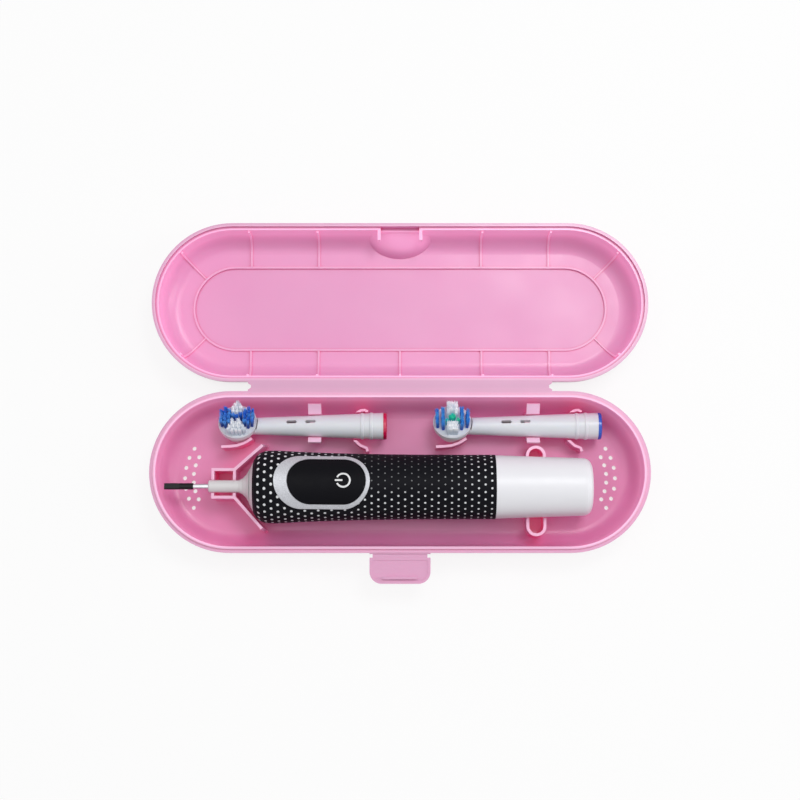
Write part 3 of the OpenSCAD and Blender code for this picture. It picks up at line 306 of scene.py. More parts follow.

# %% [markdown]
# ## Four pinks for four kinds of piece
# It's one plastic, but a deep tray, a shallow lid and a thin clip hold light differently.
# One material for all would be simpler, and was too dark in the base or too pale on the clips.
# So the same layers get four sets of colours, set against the photograph. A tray also
# gets its middle line and, for the base, the line near the front before which its wall is dark.

# %% The four pinks
# main: the colour in the open; deep: painted shade in the recesses; top: painted light at the top; glow and
# wall_glow: painted glow
PINK_LOOKS = {
    "base": {"main": (0.69, 0.205, 0.42), "deep": (0.78, 0.14, 0.36), "top": (0.86, 0.46, 0.67),
             "top_mm": (20.0, 21.9), "reach_mm": 12, "glow": 0.10, "tray": (0.0, -22), "wall_glow": 0.27},
    "holders": {"main": (0.84, 0.30, 0.53), "deep": (0.85, 0.04, 0.22), "top": (0.93, 0.49, 0.70),
                "top_mm": (10.0, 16.5), "reach_mm": 10, "glow": 0.14},
    "clips": {"main": (0.88, 0.44, 0.65), "deep": (0.82, 0.18, 0.40), "top": (1.0, 0.60, 0.82),
              "top_mm": (9.0, 17.0), "reach_mm": 8, "glow": 0.12},
    "lid": {"main": (0.76, 0.30, 0.54), "deep": (0.79, 0.28, 0.51), "top": (0.84, 0.45, 0.66),
            "top_mm": (19.5, 21.8), "reach_mm": 12, "glow": 0.08, "tray": (LID_MIDDLE_MM,), "wall_glow": 0.30},
}
PINKS = {piece: pink("pp_" + piece, look) for piece, look in PINK_LOOKS.items()}
print("pinks:", sorted(PINKS))

# %% [markdown]
# ## Where the handle lies
# The handle lies in the case a little rolled, so that its button looks up and back. What is
# printed on it has to follow it. Its place could be typed in, but the frame already knows
# it: the button's joint points straight down into the handle, and the drive shaft's joint
# lies on the shaft, just above the handle's middle line.

# %% The handle's own frame
SHAFT_RISE_MM = 1.5


def joint(name):
    return next(item for item in frame["joints"] if item["name"] == name)


HANDLE_UP = -Vector(joint("button_press")["axis"])
HANDLE_MID_MM = Vector(joint("shaft_swing")["pos_m"]) / MM - SHAFT_RISE_MM * HANDLE_UP
HANDLE_START_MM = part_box("shaft_tip")[0].x / MM
print("handle's middle line at", tuple(round(c, 2) for c in HANDLE_MID_MM), "and rolled",
      round(math.degrees(math.atan2(HANDLE_UP.y, HANDLE_UP.z)), 1), "degrees")

# %% [markdown]
# ## The soft grip and its dots
# The grip is black rubber with printed white dots in staggered rows. They are smaller away
# from the neck and faint at the upper side, past the button. Dots could be small discs of mesh,
# but print has no height, so they are a pattern: the place along the handle and the way
# round it give each point its own cell, and the distance from the cell's middle is the dot.

# %% The grip's rubber and print
DOT_STEP_MM, DOT_ROWS, SLEEVE_R_MM = 3.0, 54, 15.2
DOT_R_MM, SMALL_DOT_R_MM, FAINT_SHRINK_MM, DOT_EDGE_MM = 0.62, 0.49, 0.15, 0.06
DOT_ROW_MM = 2 * math.pi * SLEEVE_R_MM / DOT_ROWS
# along the handle from the tip of its shaft
SHRINK_MM, FAINT_FROM_MM, FAINT_TO_MM = (55, 105), (80, 92), (118, 150)
PRINT_FROM_MM, PRINT_TO_MM = (42.8, 43.0), (149.6, 149.8)
FAINT_ANGLES, INK_SHARE, FAINT_LOSS = (-0.55, -0.1), 0.95, 0.72
RUBBER, RUBBER_LIGHT, PRINT = (0.003, 0.003, 0.005), (0.007, 0.007, 0.010), (0.80, 0.82, 0.84)


def dot_shape(along, angle, radius):
    """1 inside a dot of the staggered rows and 0 between the dots."""
    column_place = along / DOT_STEP_MM
    column = column_place.math("FLOOR")
    odd = column.math("MODULO", 2.0).math("ABSOLUTE")
    row_place = angle * (DOT_ROWS / (2 * math.pi)) * 0.5 + odd * 0.5
    along_cell = (column_place - column - 0.5) * DOT_STEP_MM
    round_cell = (row_place - row_place.math("FLOOR") - 0.5) * (2 * DOT_ROW_MM)
    away = (along_cell * along_cell + round_cell * round_cell).math("SQRT")
    return (radius - away).ramp(-DOT_EDGE_MM, DOT_EDGE_MM)


def grip_paint():
    paint = Paint("soft_grip", (0.004, 0.004, 0.006), 0.55, {"Specular IOR Level": 0.06})
    x, y, z = paint.xyz_mm()
    back, up = y - HANDLE_MID_MM.y, z - HANDLE_MID_MM.z
    angle = (back * HANDLE_UP.z - up * HANDLE_UP.y).math("ARCTAN2", back * HANDLE_UP.y + up * HANDLE_UP.z)
    along = x - HANDLE_START_MM
    faint = angle.ramp(*FAINT_ANGLES) * along.ramp(*FAINT_FROM_MM) * along.ramp(*FAINT_TO_MM, 1.0, 0.0)
    printed = along.ramp(*PRINT_FROM_MM) * along.ramp(*PRINT_TO_MM, 1.0, 0.0)
    radius = faint * -FAINT_SHRINK_MM + along.ramp(*SHRINK_MM, DOT_R_MM, SMALL_DOT_R_MM)
    dot = dot_shape(along, angle, radius)
    ink = dot * ((faint * -FAINT_LOSS + INK_SHARE) * printed)
    paint.give("Base Color", paint.blend(ink, paint.blend(paint.noise(900, 3), RUBBER, RUBBER_LIGHT), PRINT))
    paint.give("Roughness", dot * -0.1 + 0.5)
    paint.bump(paint.noise(1800) * 0.5 + dot, 0.06, 0.5)
    return paint.material


GRIP = grip_paint()
print("dots every", DOT_STEP_MM, "mm along and", round(2 * DOT_ROW_MM, 2), "mm round")

# %% [markdown]
# ## Moulded plastic, ground metal and silver paint
# No real surface is one flat colour. Moulded plastic has a little drift in its colour, an
# uneven gloss and a fine grain from its mould. Ground metal has a grain along one way, and
# silver paint has flakes. Image textures could show all that, but noise needs no file and
# never repeats, so three small recipes make these finishes.

# %% Three recipes
def plain(name, colour, roughness, grain=1500, depth_mm=0.02, tint=0.03, sockets=()):
    """A moulded surface: a little colour drift, uneven gloss and a fine grain."""
    paint = Paint(name, colour, roughness, sockets)
    paint.give("Base Color", paint.blend(paint.noise(45), times(colour, [1 - tint] * 3), colour))
    paint.give("Roughness", paint.noise(220, 3).ramp(0.3, 0.7, roughness * 0.93, roughness * 1.07))
    paint.bump(paint.noise(grain), depth_mm, 0.4)
    return paint.material


def brushed(name, colour, roughness):
    """Metal ground along X: the grain is drawn out by a stretched noise."""
    paint = Paint(name, colour, roughness, {"Metallic": 1.0})
    x, y, z = paint.xyz_mm()
    stretched = paint.add("ShaderNodeCombineXYZ", {"X": x * 0.08, "Y": y, "Z": z}).outputs[0]
    made = paint.add("ShaderNodeTexNoise", {"Vector": stretched, "Scale": 2.4, "Detail": 3.0})
    grain = Value(paint, made.outputs[0])
    paint.give("Roughness", grain.ramp(0.3, 0.7, roughness * 0.7, roughness * 1.4))
    paint.give("Base Color", paint.blend(grain, times(colour, [0.8] * 3), colour))
    paint.bump(grain, 0.01, 0.5)
    return paint.material


def speckled(name, dark_flake, light_flake):
    """Silver paint with fine flakes in it."""
    paint = Paint(name, (0.66, 0.67, 0.69), 0.5, {"Metallic": 0.25})
    flakes = paint.add("ShaderNodeTexVoronoi", {"Vector": paint.place, "Scale": 5200.0}).outputs["Color"]
    spark = Value(paint, paint.add("ShaderNodeSeparateColor", {"Color": flakes}).outputs[0])
    paint.give("Base Color", paint.blend(spark, dark_flake, light_flake))
    paint.bump(paint.noise(4000), 0.02, 0.3)
    return paint.material


print("recipes ready")

# %% [markdown]
# ## The other hard parts
# The handle's shell is a clean white, the heads are a little greyer, the neck is warm. The
# black button is rubber, so it hardly shines. Parts inside the handle are seen only when
# it's taken apart, but each still gets the finish that such a part has.

# %% Paints by material
SATIN, DULL = {"Coat Weight": 0.3}, {"Specular IOR Level": 0.06}
PAINTS = {
    "white": plain("white_plastic", (0.86, 0.86, 0.90), 0.38, tint=0.015),
    "head_white": plain("head_plastic", (0.75, 0.75, 0.79), 0.32, tint=0.015, sockets={"Subsurface Weight": 0.08}),
    "cream": plain("neck_plastic", (0.74, 0.72, 0.73), 0.36),
    "silver": speckled("silver_plastic", (0.44, 0.45, 0.49), (0.62, 0.63, 0.67)),
    "button": plain("button_rubber", (0.004, 0.004, 0.006), 0.5, grain=900, depth_mm=0.04, tint=0.3, sockets=DULL),
    "symbol": plain("symbol_print", (0.78, 0.79, 0.80), 0.45),
    "tip": plain("tip_plastic", (0.005, 0.005, 0.006), 0.3, tint=0.3, sockets={"Specular IOR Level": 0.2}),
    "steel": brushed("ground_steel", (0.62, 0.63, 0.65), 0.28),
    "bush": brushed("bush_metal", (0.62, 0.42, 0.18), 0.4),
    "seal": plain("seal_rubber", (0.02, 0.02, 0.022), 0.6, tint=0.3),
    "link": plain("link_plastic", (0.80, 0.58, 0.66), 0.45),
    "inner": plain("inner_plastic", (0.62, 0.63, 0.62), 0.45),
    "gear_metal": brushed("gear_metal", (0.65, 0.48, 0.2), 0.35),
    "gear_plastic": plain("gear_plastic", (0.78, 0.78, 0.72), 0.4),
    "cell": plain("cell_sleeve", (0.04, 0.15, 0.10), 0.3, tint=0.2),
    "nickel": brushed("nickel", (0.66, 0.65, 0.62), 0.25),
    "board": plain("board", (0.01, 0.10, 0.045), 0.35, tint=0.3),
    "copper": brushed("copper", (0.70, 0.28, 0.10), 0.35),
    "crimson": plain("ring_crimson", (0.66, 0.005, 0.075), 0.28, tint=0.2, sockets=SATIN),
    "blue": plain("ring_blue", (0.015, 0.10, 0.60), 0.28, tint=0.2, sockets=SATIN),
}
print("paints:", len(PAINTS))

# %% [markdown]
# ## Every CAD node gets its material
# The CAD nodes come in bare. Materials could be picked by hand for each of the 52 objects,
# but one list of finishes and the pieces that wear them is shorter and easy to change.

# %% Dress the nodes
WEARS = {
    PINKS["base"]: ["base_shell"],
    PINKS["lid"]: ["lid_shell", "latch_flap"],
    PINKS["holders"]: ["neck_cradle", "handle_saddle", "disc_hook_left", "disc_hook_right",
                       "ring_hook_left", "ring_hook_right"],
    PINKS["clips"]: ["head_clip_left", "head_clip_right"],
    GRIP: ["grip_sleeve"],
    PAINTS["white"]: ["housing_tube", "base_cap"],
    PAINTS["head_white"]: ["head_stem_left", "head_stem_right", "brush_disc_left", "brush_disc_right"],
    PAINTS["cream"]: ["neck_collar"],
    PAINTS["silver"]: ["button_bezel"],
    PAINTS["button"]: ["button_pad"],
    PAINTS["symbol"]: ["power_symbol"],
    PAINTS["tip"]: ["shaft_tip"],
    PAINTS["steel"]: ["drive_shaft", "gear_axle", "motor", "disc_pin_left", "disc_pin_right"],
    PAINTS["bush"]: ["front_bush", "rear_bush"],
    PAINTS["seal"]: ["shaft_seal", "base_seal"],
    PAINTS["inner"]: ["chassis", "rocker", "tact_switch"],
    PAINTS["link"]: ["drive_link_left", "drive_link_right"],
    PAINTS["gear_metal"]: ["motor_pinion"],
    PAINTS["gear_plastic"]: ["crank_gear"],
    PAINTS["cell"]: ["battery"],
    PAINTS["nickel"]: ["battery_tabs"],
    PAINTS["board"]: ["circuit_board"],
    PAINTS["copper"]: ["charge_coil"],
    PAINTS["crimson"]: ["head_ring_left"],
    PAINTS["blue"]: ["head_ring_right"],
}


def dress(thing, material):
    if not thing.material_slots:
        thing.data.materials.append(material)
    for slot in thing.material_slots:
        slot.material = material


for material, names in WEARS.items():
    for name in names:
        dress(frame["nodes"][name], material)
print("dressed", sum(len(names) for names in WEARS.values()), "nodes")

# %% [markdown]
# ## The colour of nylon
# A bristle is a clear nylon thread. Its cut tip looks bright, its side is deeper, and tufts
# differ a little from each other. Hair shaders can do this, but the exported model loses them.
# So each strand carries two numbers, its height and its tuft's random shade, and the colour
# reads them: painted light at the cut tips, painted shade down the sides. A faint emission
# stands for the light that such clear threads pass on.

# %% Bristle paints
def bristle_paint(name, side, tip, other_tip, glow):
    """Nylon: painted light at the cut tips, painted shade down the sides, a little different from tuft to tuft,
    and lit from within by a painted glow.
    """
    paint = Paint(name, tip, 0.4, {"Subsurface Weight": 0.1, "Emission Strength": glow})
    height, shade = (Value(paint, paint.add("ShaderNodeAttribute", attribute_name=key).outputs["Fac"])
                     for key in ("height", "shade"))
    tips = paint.blend(shade.ramp(0.25, 0.9), tip, other_tip)
    # painted light at the tips, painted shade down the sides of the threads
    colour = paint.blend(height.ramp(0.35, 1.0), side, tips)
    paint.give("Base Color", colour)
    # painted glow: the colour also shines as emission
    paint.give("Emission Color", colour)
    paint.give("Roughness", paint.noise(800).ramp(0.3, 0.7, 0.34, 0.46))
    return paint.material


# for each field: the painted shade of the sides, the painted light of the tips, a second tip colour for some
# tufts, and the glow
WHITE_NYLON_LIGHT_AND_SHADE = ((0.60, 0.66, 0.74), (0.95, 0.96, 0.98), (0.74, 0.80, 0.86), 0.12)
NYLON_LIGHT_AND_SHADE = {
    "blue_left": ((0.003, 0.04, 0.34), (0.02, 0.19, 0.80), (0.10, 0.40, 0.90), 0.08),
    "blue_right": ((0.004, 0.08, 0.50), (0.02, 0.28, 0.84), (0.08, 0.44, 0.90), 0.08),
    "white_left": WHITE_NYLON_LIGHT_AND_SHADE,
    "white_right": WHITE_NYLON_LIGHT_AND_SHADE,
    "green_right": ((0.0, 0.42, 0.46), (0.02, 0.66, 0.42), (0.0, 0.55, 0.58), 0.12),
}
BRISTLE = {field: bristle_paint("bristle_" + field, *nylon) for field, nylon in NYLON_LIGHT_AND_SHADE.items()}
print("bristle paints:", sorted(BRISTLE))

# %% [markdown]
# ## A plan for one tuft
# A tuft is a bundle of threads pressed into a hole of the disc. Threads could be copied one
# by one in Python, which is slow and hard to change. Geometry Nodes do it with a few named
# sizes: two rings of points and a middle one say where the threads of one tuft stand.

# %% A Geometry Nodes group and the tuft's plan
RANDOM_LOW, RANDOM_HIGH, RANDOM_RESULT = 2, 3, 1  # the Random Value node's sockets for numbers


class Graph(Tree):
    """A Geometry Nodes group being built, with geometry in and out and named sizes."""

    def __init__(self, name):
        super().__init__(bpy.data.node_groups.new(name, "GeometryNodeTree"))
        for way in ("INPUT", "OUTPUT"):
            self.tree.interface.new_socket("Geometry", in_out=way, socket_type="NodeSocketGeometry")
        self.start = self.add("NodeGroupInput")
        self.end = self.add("NodeGroupOutput")

    def given(self, name, kind):
        self.tree.interface.new_socket(name, in_out="INPUT", socket_type="NodeSocket" + kind)
        return Value(self, self.start.outputs[name])

    def chance(self, low, high, seed):
        made = self.add("FunctionNodeRandomValue", {RANDOM_LOW: low, RANDOM_HIGH: high, "Seed": seed},
                        data_type="FLOAT")
        return Value(self, made.outputs[RANDOM_RESULT])

    def store(self, geometry, name, value):
        """Writes a number on every point, for the materials to read."""
        return self.add("GeometryNodeStoreNamedAttribute", {"Geometry": geometry, "Name": name, "Value": value},
                        data_type="FLOAT", domain="POINT").outputs[0]


def tuft_plan(g, radius, count):
    """Two rings of points and a middle one. The outer ring has six points more."""
    rings = g.add("GeometryNodeJoinGeometry")
    for share, extra in ((1.0, 6), (0.52, 0)):
        ring = g.add("GeometryNodeMeshCircle", {"Vertices": count + extra, "Radius": radius * share})
        g.feed(rings.inputs[0], ring.outputs[0])
    g.feed(rings.inputs[0], g.add("GeometryNodeMeshLine", {"Count": 1}).outputs[0])
    return g.add("GeometryNodeMeshToPoints", {"Mesh": rings.outputs[0]}).outputs[0]


print("tuft plan ready")

# %% [markdown]
# ## One thread, and how it stands
# A real thread is round, with its tip ground smooth, and no two stand quite alike. A hexagon
# tube is round enough at this size and keeps thousands of threads light. Each one leans
# outwards from its tuft's middle, strays a little by chance, and is a little shorter by chance.

# %% The thread
THREAD_SIDES, THREAD_RINGS, STRAY = 6, 4, 0.055
SHORTER_TUFTS, SHORTEST_THREAD = 0.09, 0.96


def thread(g, radius, length):
    """A tube that stands on its root and knows its height, from 0 to 1."""
    tube = g.add("GeometryNodeMeshCylinder", {
        "Vertices": THREAD_SIDES, "Side Segments": THREAD_RINGS, "Fill Segments": 1,
        "Radius": radius, "Depth": length}).outputs["Mesh"]
    lift = g.add("ShaderNodeCombineXYZ", {"Z": length * 0.5}).outputs[0]
    tube = g.add("GeometryNodeTransform", {"Geometry": tube, "Translation": lift}).outputs[0]
    place = g.add("GeometryNodeInputPosition").outputs[0]
    height = Value(g, g.add("ShaderNodeSeparateXYZ", {"Vector": place}).outputs["Z"]) / length
    return g.store(tube, "height", height)


def lean_and_size(g, lean, seed):
    """The turn and the scale of each thread."""
    place = g.add("GeometryNodeInputPosition").outputs[0]
    spread = {"Min": (-STRAY, -STRAY, 0), "Max": (STRAY, STRAY, 0), "Seed": seed}
    stray = g.add("FunctionNodeRandomValue", spread, data_type="FLOAT_VECTOR").outputs["Value"]
    out = g.add("ShaderNodeVectorMath", {0: place, "Scale": lean}, operation="SCALE").outputs[0]
    both = g.add("ShaderNodeVectorMath", {0: out, 1: stray}, operation="ADD").outputs[0]
    way = g.add("ShaderNodeVectorMath", {0: both, 1: (0, 0, 1)}, operation="ADD").outputs[0]
    turn = g.add("FunctionNodeAlignRotationToVector", {"Vector": way}, axis="Z").outputs[0]
    own = g.add("GeometryNodeInputNamedAttribute", {"Name": "shade"}, data_type="FLOAT").outputs[0]
    tall = g.chance(SHORTEST_THREAD, 1.0, seed) * (Value(g, own) * -SHORTER_TUFTS + 1.0)
    return turn, g.add("ShaderNodeCombineXYZ", {"X": 1.0, "Y": 1.0, "Z": tall}).outputs[0]


print("thread ready")

# %% [markdown]
# ## The whole group
# Points go in, one for each tuft. Every point gets the plan, every point of the plan a
# thread. The group ends in Realize Instances, so that the result is a mesh that the export
# keeps, and in Set Material, since new mesh has none.

# %% Tufts from points
def tuft_group():
    """Points in, bundles of leaning threads out."""
    g = Graph("bristle_tufts")
    sizes = {name: g.given(name, kind) for name, kind in (
        ("Bundle Radius", "Float"), ("Ring Strands", "Int"), ("Strand Radius", "Float"), ("Length", "Float"),
        ("Lean", "Float"), ("Seed", "Int"), ("Material", "Material"))}
    seed = sizes["Seed"]
    plan = tuft_plan(g, sizes["Bundle Radius"], sizes["Ring Strands"])
    tufts = g.add("GeometryNodeMeshToPoints", {"Mesh": g.start.outputs["Geometry"]}).outputs[0]
    tufts = g.store(tufts, "shade", g.chance(0.0, 1.0, seed))
    spots = g.add("GeometryNodeInstanceOnPoints", {"Points": tufts, "Instance": plan}).outputs[0]
    roots = g.add("GeometryNodeRealizeInstances", {"Geometry": spots}).outputs[0]
    turn, size = lean_and_size(g, sizes["Lean"], seed)
    field = g.add("GeometryNodeInstanceOnPoints", {
        "Points": roots, "Instance": thread(g, sizes["Strand Radius"], sizes["Length"]),
        "Rotation": turn, "Scale": size}).outputs[0]
    real = g.add("GeometryNodeRealizeInstances", {"Geometry": field}).outputs[0]
    painted = g.add("GeometryNodeSetMaterial", {"Geometry": real, "Material": sizes["Material"]}).outputs[0]
    g.feed(g.end.inputs[0], painted)
    return g.tree


TUFTS = tuft_group()
print("tuft group:", len(TUFTS.nodes), "nodes")

# %% [markdown]
# ## Growing a field
# A modifier runs the group on a few points. It could stay live, but a moving part is safer
# as a plain mesh. So the result is copied out, the helper object goes, and the mesh is put
# in its place on the disc.

# %% Grow and keep
def new_object(name, mesh):
    thing = bpy.data.objects.new(name, mesh)
    bpy.context.scene.collection.objects.link(thing)
    return thing


def grown(name, spots_mm, place, sizes):
    """Runs the group on some points and keeps the result as a plain mesh at its place."""
    points = bpy.data.meshes.new(name + "_spots")
    points.from_pydata([Vector((x, y, 0)) * MM for x, y in spots_mm], [], [])
    seedling = new_object(name + "_seedling", points)
    modifier = seedling.modifiers.new("grow", "NODES")
    modifier.node_group = TUFTS
    for item in TUFTS.interface.items_tree:
        if item.in_out == "INPUT" and item.name in sizes:
            modifier[item.identifier] = sizes[item.name]
    graph = bpy.context.evaluated_depsgraph_get()
    mesh = bpy.data.meshes.new_from_object(seedling.evaluated_get(graph), depsgraph=graph)
    bpy.data.objects.remove(seedling)
    mesh.transform(place)
    mesh.name = name
    return new_object(name, mesh)


def disc_place(side):
    """The matrix from a brush disc's own frame, on its joint, to the frame of the whole object."""
    turning = joint("disc_" + side + "_swing")
    roll = Vector((0, 0, 1)).rotation_difference(Vector(turning["axis"]))
    return Matrix.Translation(turning["pos_m"]) @ roll.to_matrix().to_4x4()


for side in ("left", "right"):
    print(side, "disc at", tuple(round(c / MM, 2) for c in disc_place(side).translation))

# %% [markdown]
# ## The disc's bed
# The tufts stand in a round plate that fills the disc inside its rim. In the CAD model the
# plate belongs to the bristle nodes, which the tufts below replace, so it's made again here. A
# cylinder primitive would do as well. A ring of points joined by hand is as short, and its
# place can be put into the mesh at once.

# %% Two beds
BED_R_MM, BED_LOW_MM, BED_HIGH_MM = 8.24, 1.01, 1.78  # heights are above the disc's joint


def bed(name, place, material, segments=96):
    ring = [(BED_R_MM * math.cos(turn), BED_R_MM * math.sin(turn))
            for turn in (2 * math.pi * i / segments for i in range(segments))]
    verts = [Vector((x, y, z)) * MM for z in (BED_LOW_MM, BED_HIGH_MM) for x, y in ring]
    faces = [tuple(reversed(range(segments))), tuple(range(segments, 2 * segments))]
    for i in range(segments):
        after = (i + 1) % segments
        faces.append((i, after, segments + after, segments + i))
    mesh = bpy.data.meshes.new(name)
    mesh.from_pydata(verts, [], faces)
    mesh.transform(place)
    thing = new_object(name, mesh)
    dress(thing, material)
    return thing


for side in ("left", "right"):
    plate = bed("bristle_bed_" + side, disc_place(side), PAINTS["head_white"])
    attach(plate, "disc_" + side)
    print(plate.name, len(plate.data.polygons), "faces")

# %% [markdown]
# ## Where the tufts stand
# Both heads have two blue banks with white ends. On the left head some blue tufts also cross
# the middle, and on the right one a green star sits there. A random scatter would look like
# grass, and a real brush has a drilled pattern. So each tuft has its own spot, in
# millimetres from the middle of the disc, and straight banks come from a formula.

# %% Tuft spots and lengths
def bank(column, count, step, middle=0.0):
    """A straight row of tufts on both sides of the disc."""
    return [(side * column, middle + step * (i - (count - 1) / 2)) for side in (-1, 1) for i in range(count)]


def row(y, *places):
    return [(x, y) for x in places]


SPOTS = {
    "blue_left": bank(3.4, 4, 1.8, 0.5) + bank(5.1, 5, 1.8, 0.5) + bank(6.8, 4, 1.7, 0.3)
    + [(-1.7, 0.9), (-0.1, 0.1), (1.6, 0.9)],
    "white_left": row(7.4, 0.0) + row(6.0, -0.9, 0.9) + row(4.4, -1.7, 0, 1.7) + row(2.6, -1.6, 0, 1.6)
    + row(-1.9, -1.9, 0.7) + row(-3.5, -1.9, -0.2, 1.4) + row(-5.1, -2.7, -0.9, 0.9, 2.7)
    + [(-3.4, -6.4), (-1.7, -6.9), (0, -7.0), (1.7, -6.9), (3.4, -6.4)],
    "blue_right": bank(4.2, 6, 1.6) + bank(6.7, 5, 1.45),
    "white_right": [(x, side * y) for side in (-1, 1) for y in (3.4, 5.0, 6.6) for x in (-1.8, -0.6, 0.6, 1.8)]
    + row(1.9, -1.7, 1.7),
    "green_right": [(0, 0.9), (-0.8, 0.1), (0.8, 0.1), (0, -0.7), (-2.4, -1.6), (2.4, -1.6)],
}
LENGTHS_MM = {"blue_left": 6.3, "white_left": 6.1, "blue_right": 6.1, "white_right": 6.4, "green_right": 5.9}
print("tufts:", {field: len(spots) for field, spots in SPOTS.items()})

# %% [markdown]
# ## All the fields
# Each colour of bristle is a field of its own, because each replaces a node of its own and
# keeps that node's body. One big brush would be less work, but it couldn't be taken apart.
# The sizes of a tuft are shared. Only the length, the seed of its chances and the colour differ.

# %% Grow all the fields
ROOT_MM = 1.5  # above the disc's joint, a little inside the bed
TUFT = {"Bundle Radius": 0.60 * MM, "Ring Strands": 6, "Strand Radius": 0.11 * MM, "Lean": 11.0}

for seed, (field, spots) in enumerate(SPOTS.items(), start=3):
    tint, side = field.split("_")
    place = disc_place(side) @ Matrix.Translation((0, 0, ROOT_MM * MM))
    own = {"Length": LENGTHS_MM[field] * MM, "Seed": seed, "Material": BRISTLE[field]}
    tufts = grown("tufts_" + field, spots, place, {**TUFT, **own})
    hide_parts("bristles_" + field)
    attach(tufts, "disc_" + side)
    "bristle_" + tint
    print(tufts.name, len(spots), "tufts,", len(tufts.data.polygons), "faces")

# %% [markdown]
# ## Films for the living hinges
# Lid and latch hang on living hinges: thin films of the case's own plastic that bend every
# time the case is opened. A solid can't bend, so a stiff film would tear away from the lid.
# So each film is made again as a flat strip, with many rows across its fold.

# %% A strip across a fold
FILM_ROWS, FILM_COLUMNS = 12, 25


def film(name, node, y_from, y_to):
    """A flat closed strip with many rows across its fold, as long and as thick as its CAD node."""
    low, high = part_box(node)
    verts, faces = [], []
    for z in (low.z, high.z):
        for i in range(FILM_ROWS + 1):
            y = y_from + (y_to - y_from) * i / FILM_ROWS
            verts += [Vector((high.x * (2 * j / (FILM_COLUMNS - 1) - 1), y, z)) for j in range(FILM_COLUMNS)]
    upper = (FILM_ROWS + 1) * FILM_COLUMNS
    for a in (i * FILM_COLUMNS + j for i in range(FILM_ROWS) for j in range(FILM_COLUMNS - 1)):
        below = (a, a + FILM_COLUMNS, a + FILM_COLUMNS + 1, a + 1)
        faces += [below, tuple(upper + corner for corner in (below[0], below[3], below[2], below[1]))]
    last_row = FILM_ROWS * FILM_COLUMNS
    edge = list(range(FILM_COLUMNS)) + [i * FILM_COLUMNS + FILM_COLUMNS - 1 for i in range(1, FILM_ROWS + 1)]
    edge += [last_row + j for j in range(FILM_COLUMNS - 2, -1, -1)]
    edge += [i * FILM_COLUMNS for i in range(FILM_ROWS - 1, 0, -1)]
    faces += [(a, b, upper + b, upper + a) for a, b in zip(edge, edge[1:] + edge[:1])]
    if y_to < y_from:
        faces = [tuple(reversed(face)) for face in faces]
    mesh = bpy.data.meshes.new(name)
    mesh.from_pydata(verts, [], faces)
    thing = new_object(name, mesh)
    dress(thing, PINKS["lid"])
    return thing


base_front, base_back = (corner.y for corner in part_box("base_shell"))
lid_film = film("film_lid", "lid_hinge_film", base_back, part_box("lid_shell")[0].y)
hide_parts("lid_hinge_film")
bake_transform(lid_film)
latch_film = film("film_latch", "latch_hinge_film", base_front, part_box("latch_flap")[1].y)
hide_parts("latch_hinge_film")
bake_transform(latch_film)
print("films:", lid_film.name, latch_film.name, "with", len(lid_film.data.polygons), "faces each")

# %% [markdown]
# ## A white studio
# The photograph was taken on white, with a soft shadow close under the case. A bright lamp on
# the floor would also flood the object. Light Path tells which rays only look at the
# background, so those see pure white while the object gets a calm, lower level. The
# floor mixes that white with a plain one that takes the shadow. Close under the case,
# Ambient Occlusion also fades the white: a painted contact shadow.

# %% Floor and room
FLOOR_HALF, FLOOR_Z = 12.0, -0.0002
SHADOW, CONTACT_MM, CONTACT_SHADOW_WHITE, FILL = 0.13, 8, 0.72, 0.36
WHITE = (1, 1, 1, 1)


def seen_directly(tree):
    """1 for rays that show the background: from the camera, a mirror or a clear piece."""
    path = tree.add("ShaderNodeLightPath").outputs
    camera, glossy, clear = (Value(tree, path[f"Is {kind} Ray"]) for kind in ("Camera", "Glossy", "Transmission"))
    return (camera + glossy).math("ADD", clear, clamp=True)


def floor():
    corners = [(-1, -1), (1, -1), (1, 1), (-1, 1)]
    mesh = bpy.data.meshes.new("floor")
    mesh.from_pydata([(FLOOR_HALF * x, FLOOR_HALF * y, FLOOR_Z) for x, y in corners], [], [(0, 1, 2, 3)])
    thing = new_object("floor", mesh)
    paint = Paint("floor_white", (0.92, 0.92, 0.92), 0.9)
    glow = paint.add("ShaderNodeEmission", {"Color": WHITE, "Strength": 1.0})
    # painted contact shadow: the white fades where Ambient Occlusion finds the case close
    under = paint.shade(CONTACT_MM).ramp(0.0, 0.9, CONTACT_SHADOW_WHITE, 1.0)
    share = seen_directly(paint) * under * (1 - SHADOW)
    mix = paint.add("ShaderNodeMixShader", {"Fac": share, 1: paint.shader.outputs[0], 2: glow.outputs[0]})
    paint.feed(paint.tree.nodes["Material Output"].inputs[0], mix.outputs[0])
    mesh.materials.append(paint.material)


def room():
    """A white room that lights the object at the fill level."""
    world = bpy.data.worlds.new("studio")
    world.use_nodes = True
    tree = Tree(world.node_tree)
    background = world.node_tree.nodes["Background"]
    tree.feed(background.inputs["Color"], WHITE)
    tree.feed(background.inputs["Strength"], seen_directly(tree) * (1 - FILL) + FILL)
    bpy.context.scene.world = world


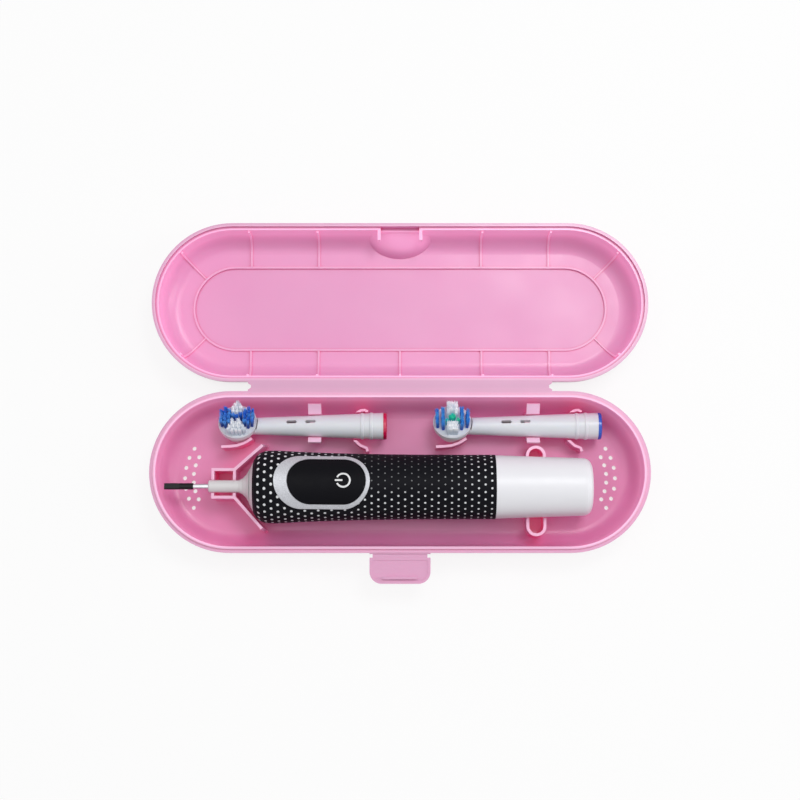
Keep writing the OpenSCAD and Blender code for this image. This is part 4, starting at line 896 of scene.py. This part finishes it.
floor()
room()
print("floor", 2 * FLOOR_HALF, "m wide, room fill", FILL)

# %% [markdown]
# ## Three soft lamps
# The lid's panel shows a soft reflection at its upper right, the left walls are the
# brightest, and nothing has a hard shadow. A sky or a sun can't do that indoors. So a small
# square lamp makes the reflection, a broad one overhead does most of the work, and a tall
# strip at the right lights the walls that face it.

# %% Lamps
AIM = (0, 0.03, 0)
# place, size and power in watts
LAMPS = {
    "key": ((0.30, 0.42, 1.20), (0.36, 0.36), 4.75),
    "overhead": ((-0.3, 0.1, 1.30), (1.2, 1.0), 4.2),
    "right_strip": ((1.0, 0.1, 0.6), (0.3, 1.0), 3.5),
}


def lamp(name, place, size, power):
    light = bpy.data.lights.new(name, "AREA")
    light.shape, light.size, light.size_y = "RECTANGLE", *size
    light.energy = power
    thing = new_object(name, light)
    thing.location = place
    thing.rotation_euler = (Vector(AIM) - Vector(place)).to_track_quat("-Z", "Y").to_euler()


for name, facts in LAMPS.items():
    lamp(name, *facts)
print("lamps:", {name: power for name, (place, size, power) in LAMPS.items()})

# %% [markdown]
# ## Camera
# The photograph looks down on the open case, from a little in front of straight overhead. An
# orthographic camera would lose the inner faces of the walls, which the photograph shows all
# round. So the camera has a real distance, and its lens follows from the width of the
# case in the picture, which is 800 pixels wide.

# %% Camera
PITCH = math.radians(6.0)
PICTURE_PX, SENSOR_MM = 800, 36
DISTANCE_MM, FOCAL_PX, TARGET_MM = 762.0, 1670.0, Vector((0, 32.7, 22))
camera = bpy.data.cameras.new("camera")
camera.sensor_width = SENSOR_MM
camera.lens = FOCAL_PX / PICTURE_PX * SENSOR_MM
camera.clip_start = 0.01
eye = new_object("camera", camera)
eye.location = (TARGET_MM + DISTANCE_MM * Vector((0, -math.sin(PITCH), math.cos(PITCH)))) * MM
eye.rotation_euler = (PITCH, 0, 0)
bpy.context.scene.camera = eye
bpy.context.scene.view_settings.view_transform = "Standard"
print("camera:", round(camera.lens, 2), "mm lens at", tuple(round(c, 3) for c in eye.location))
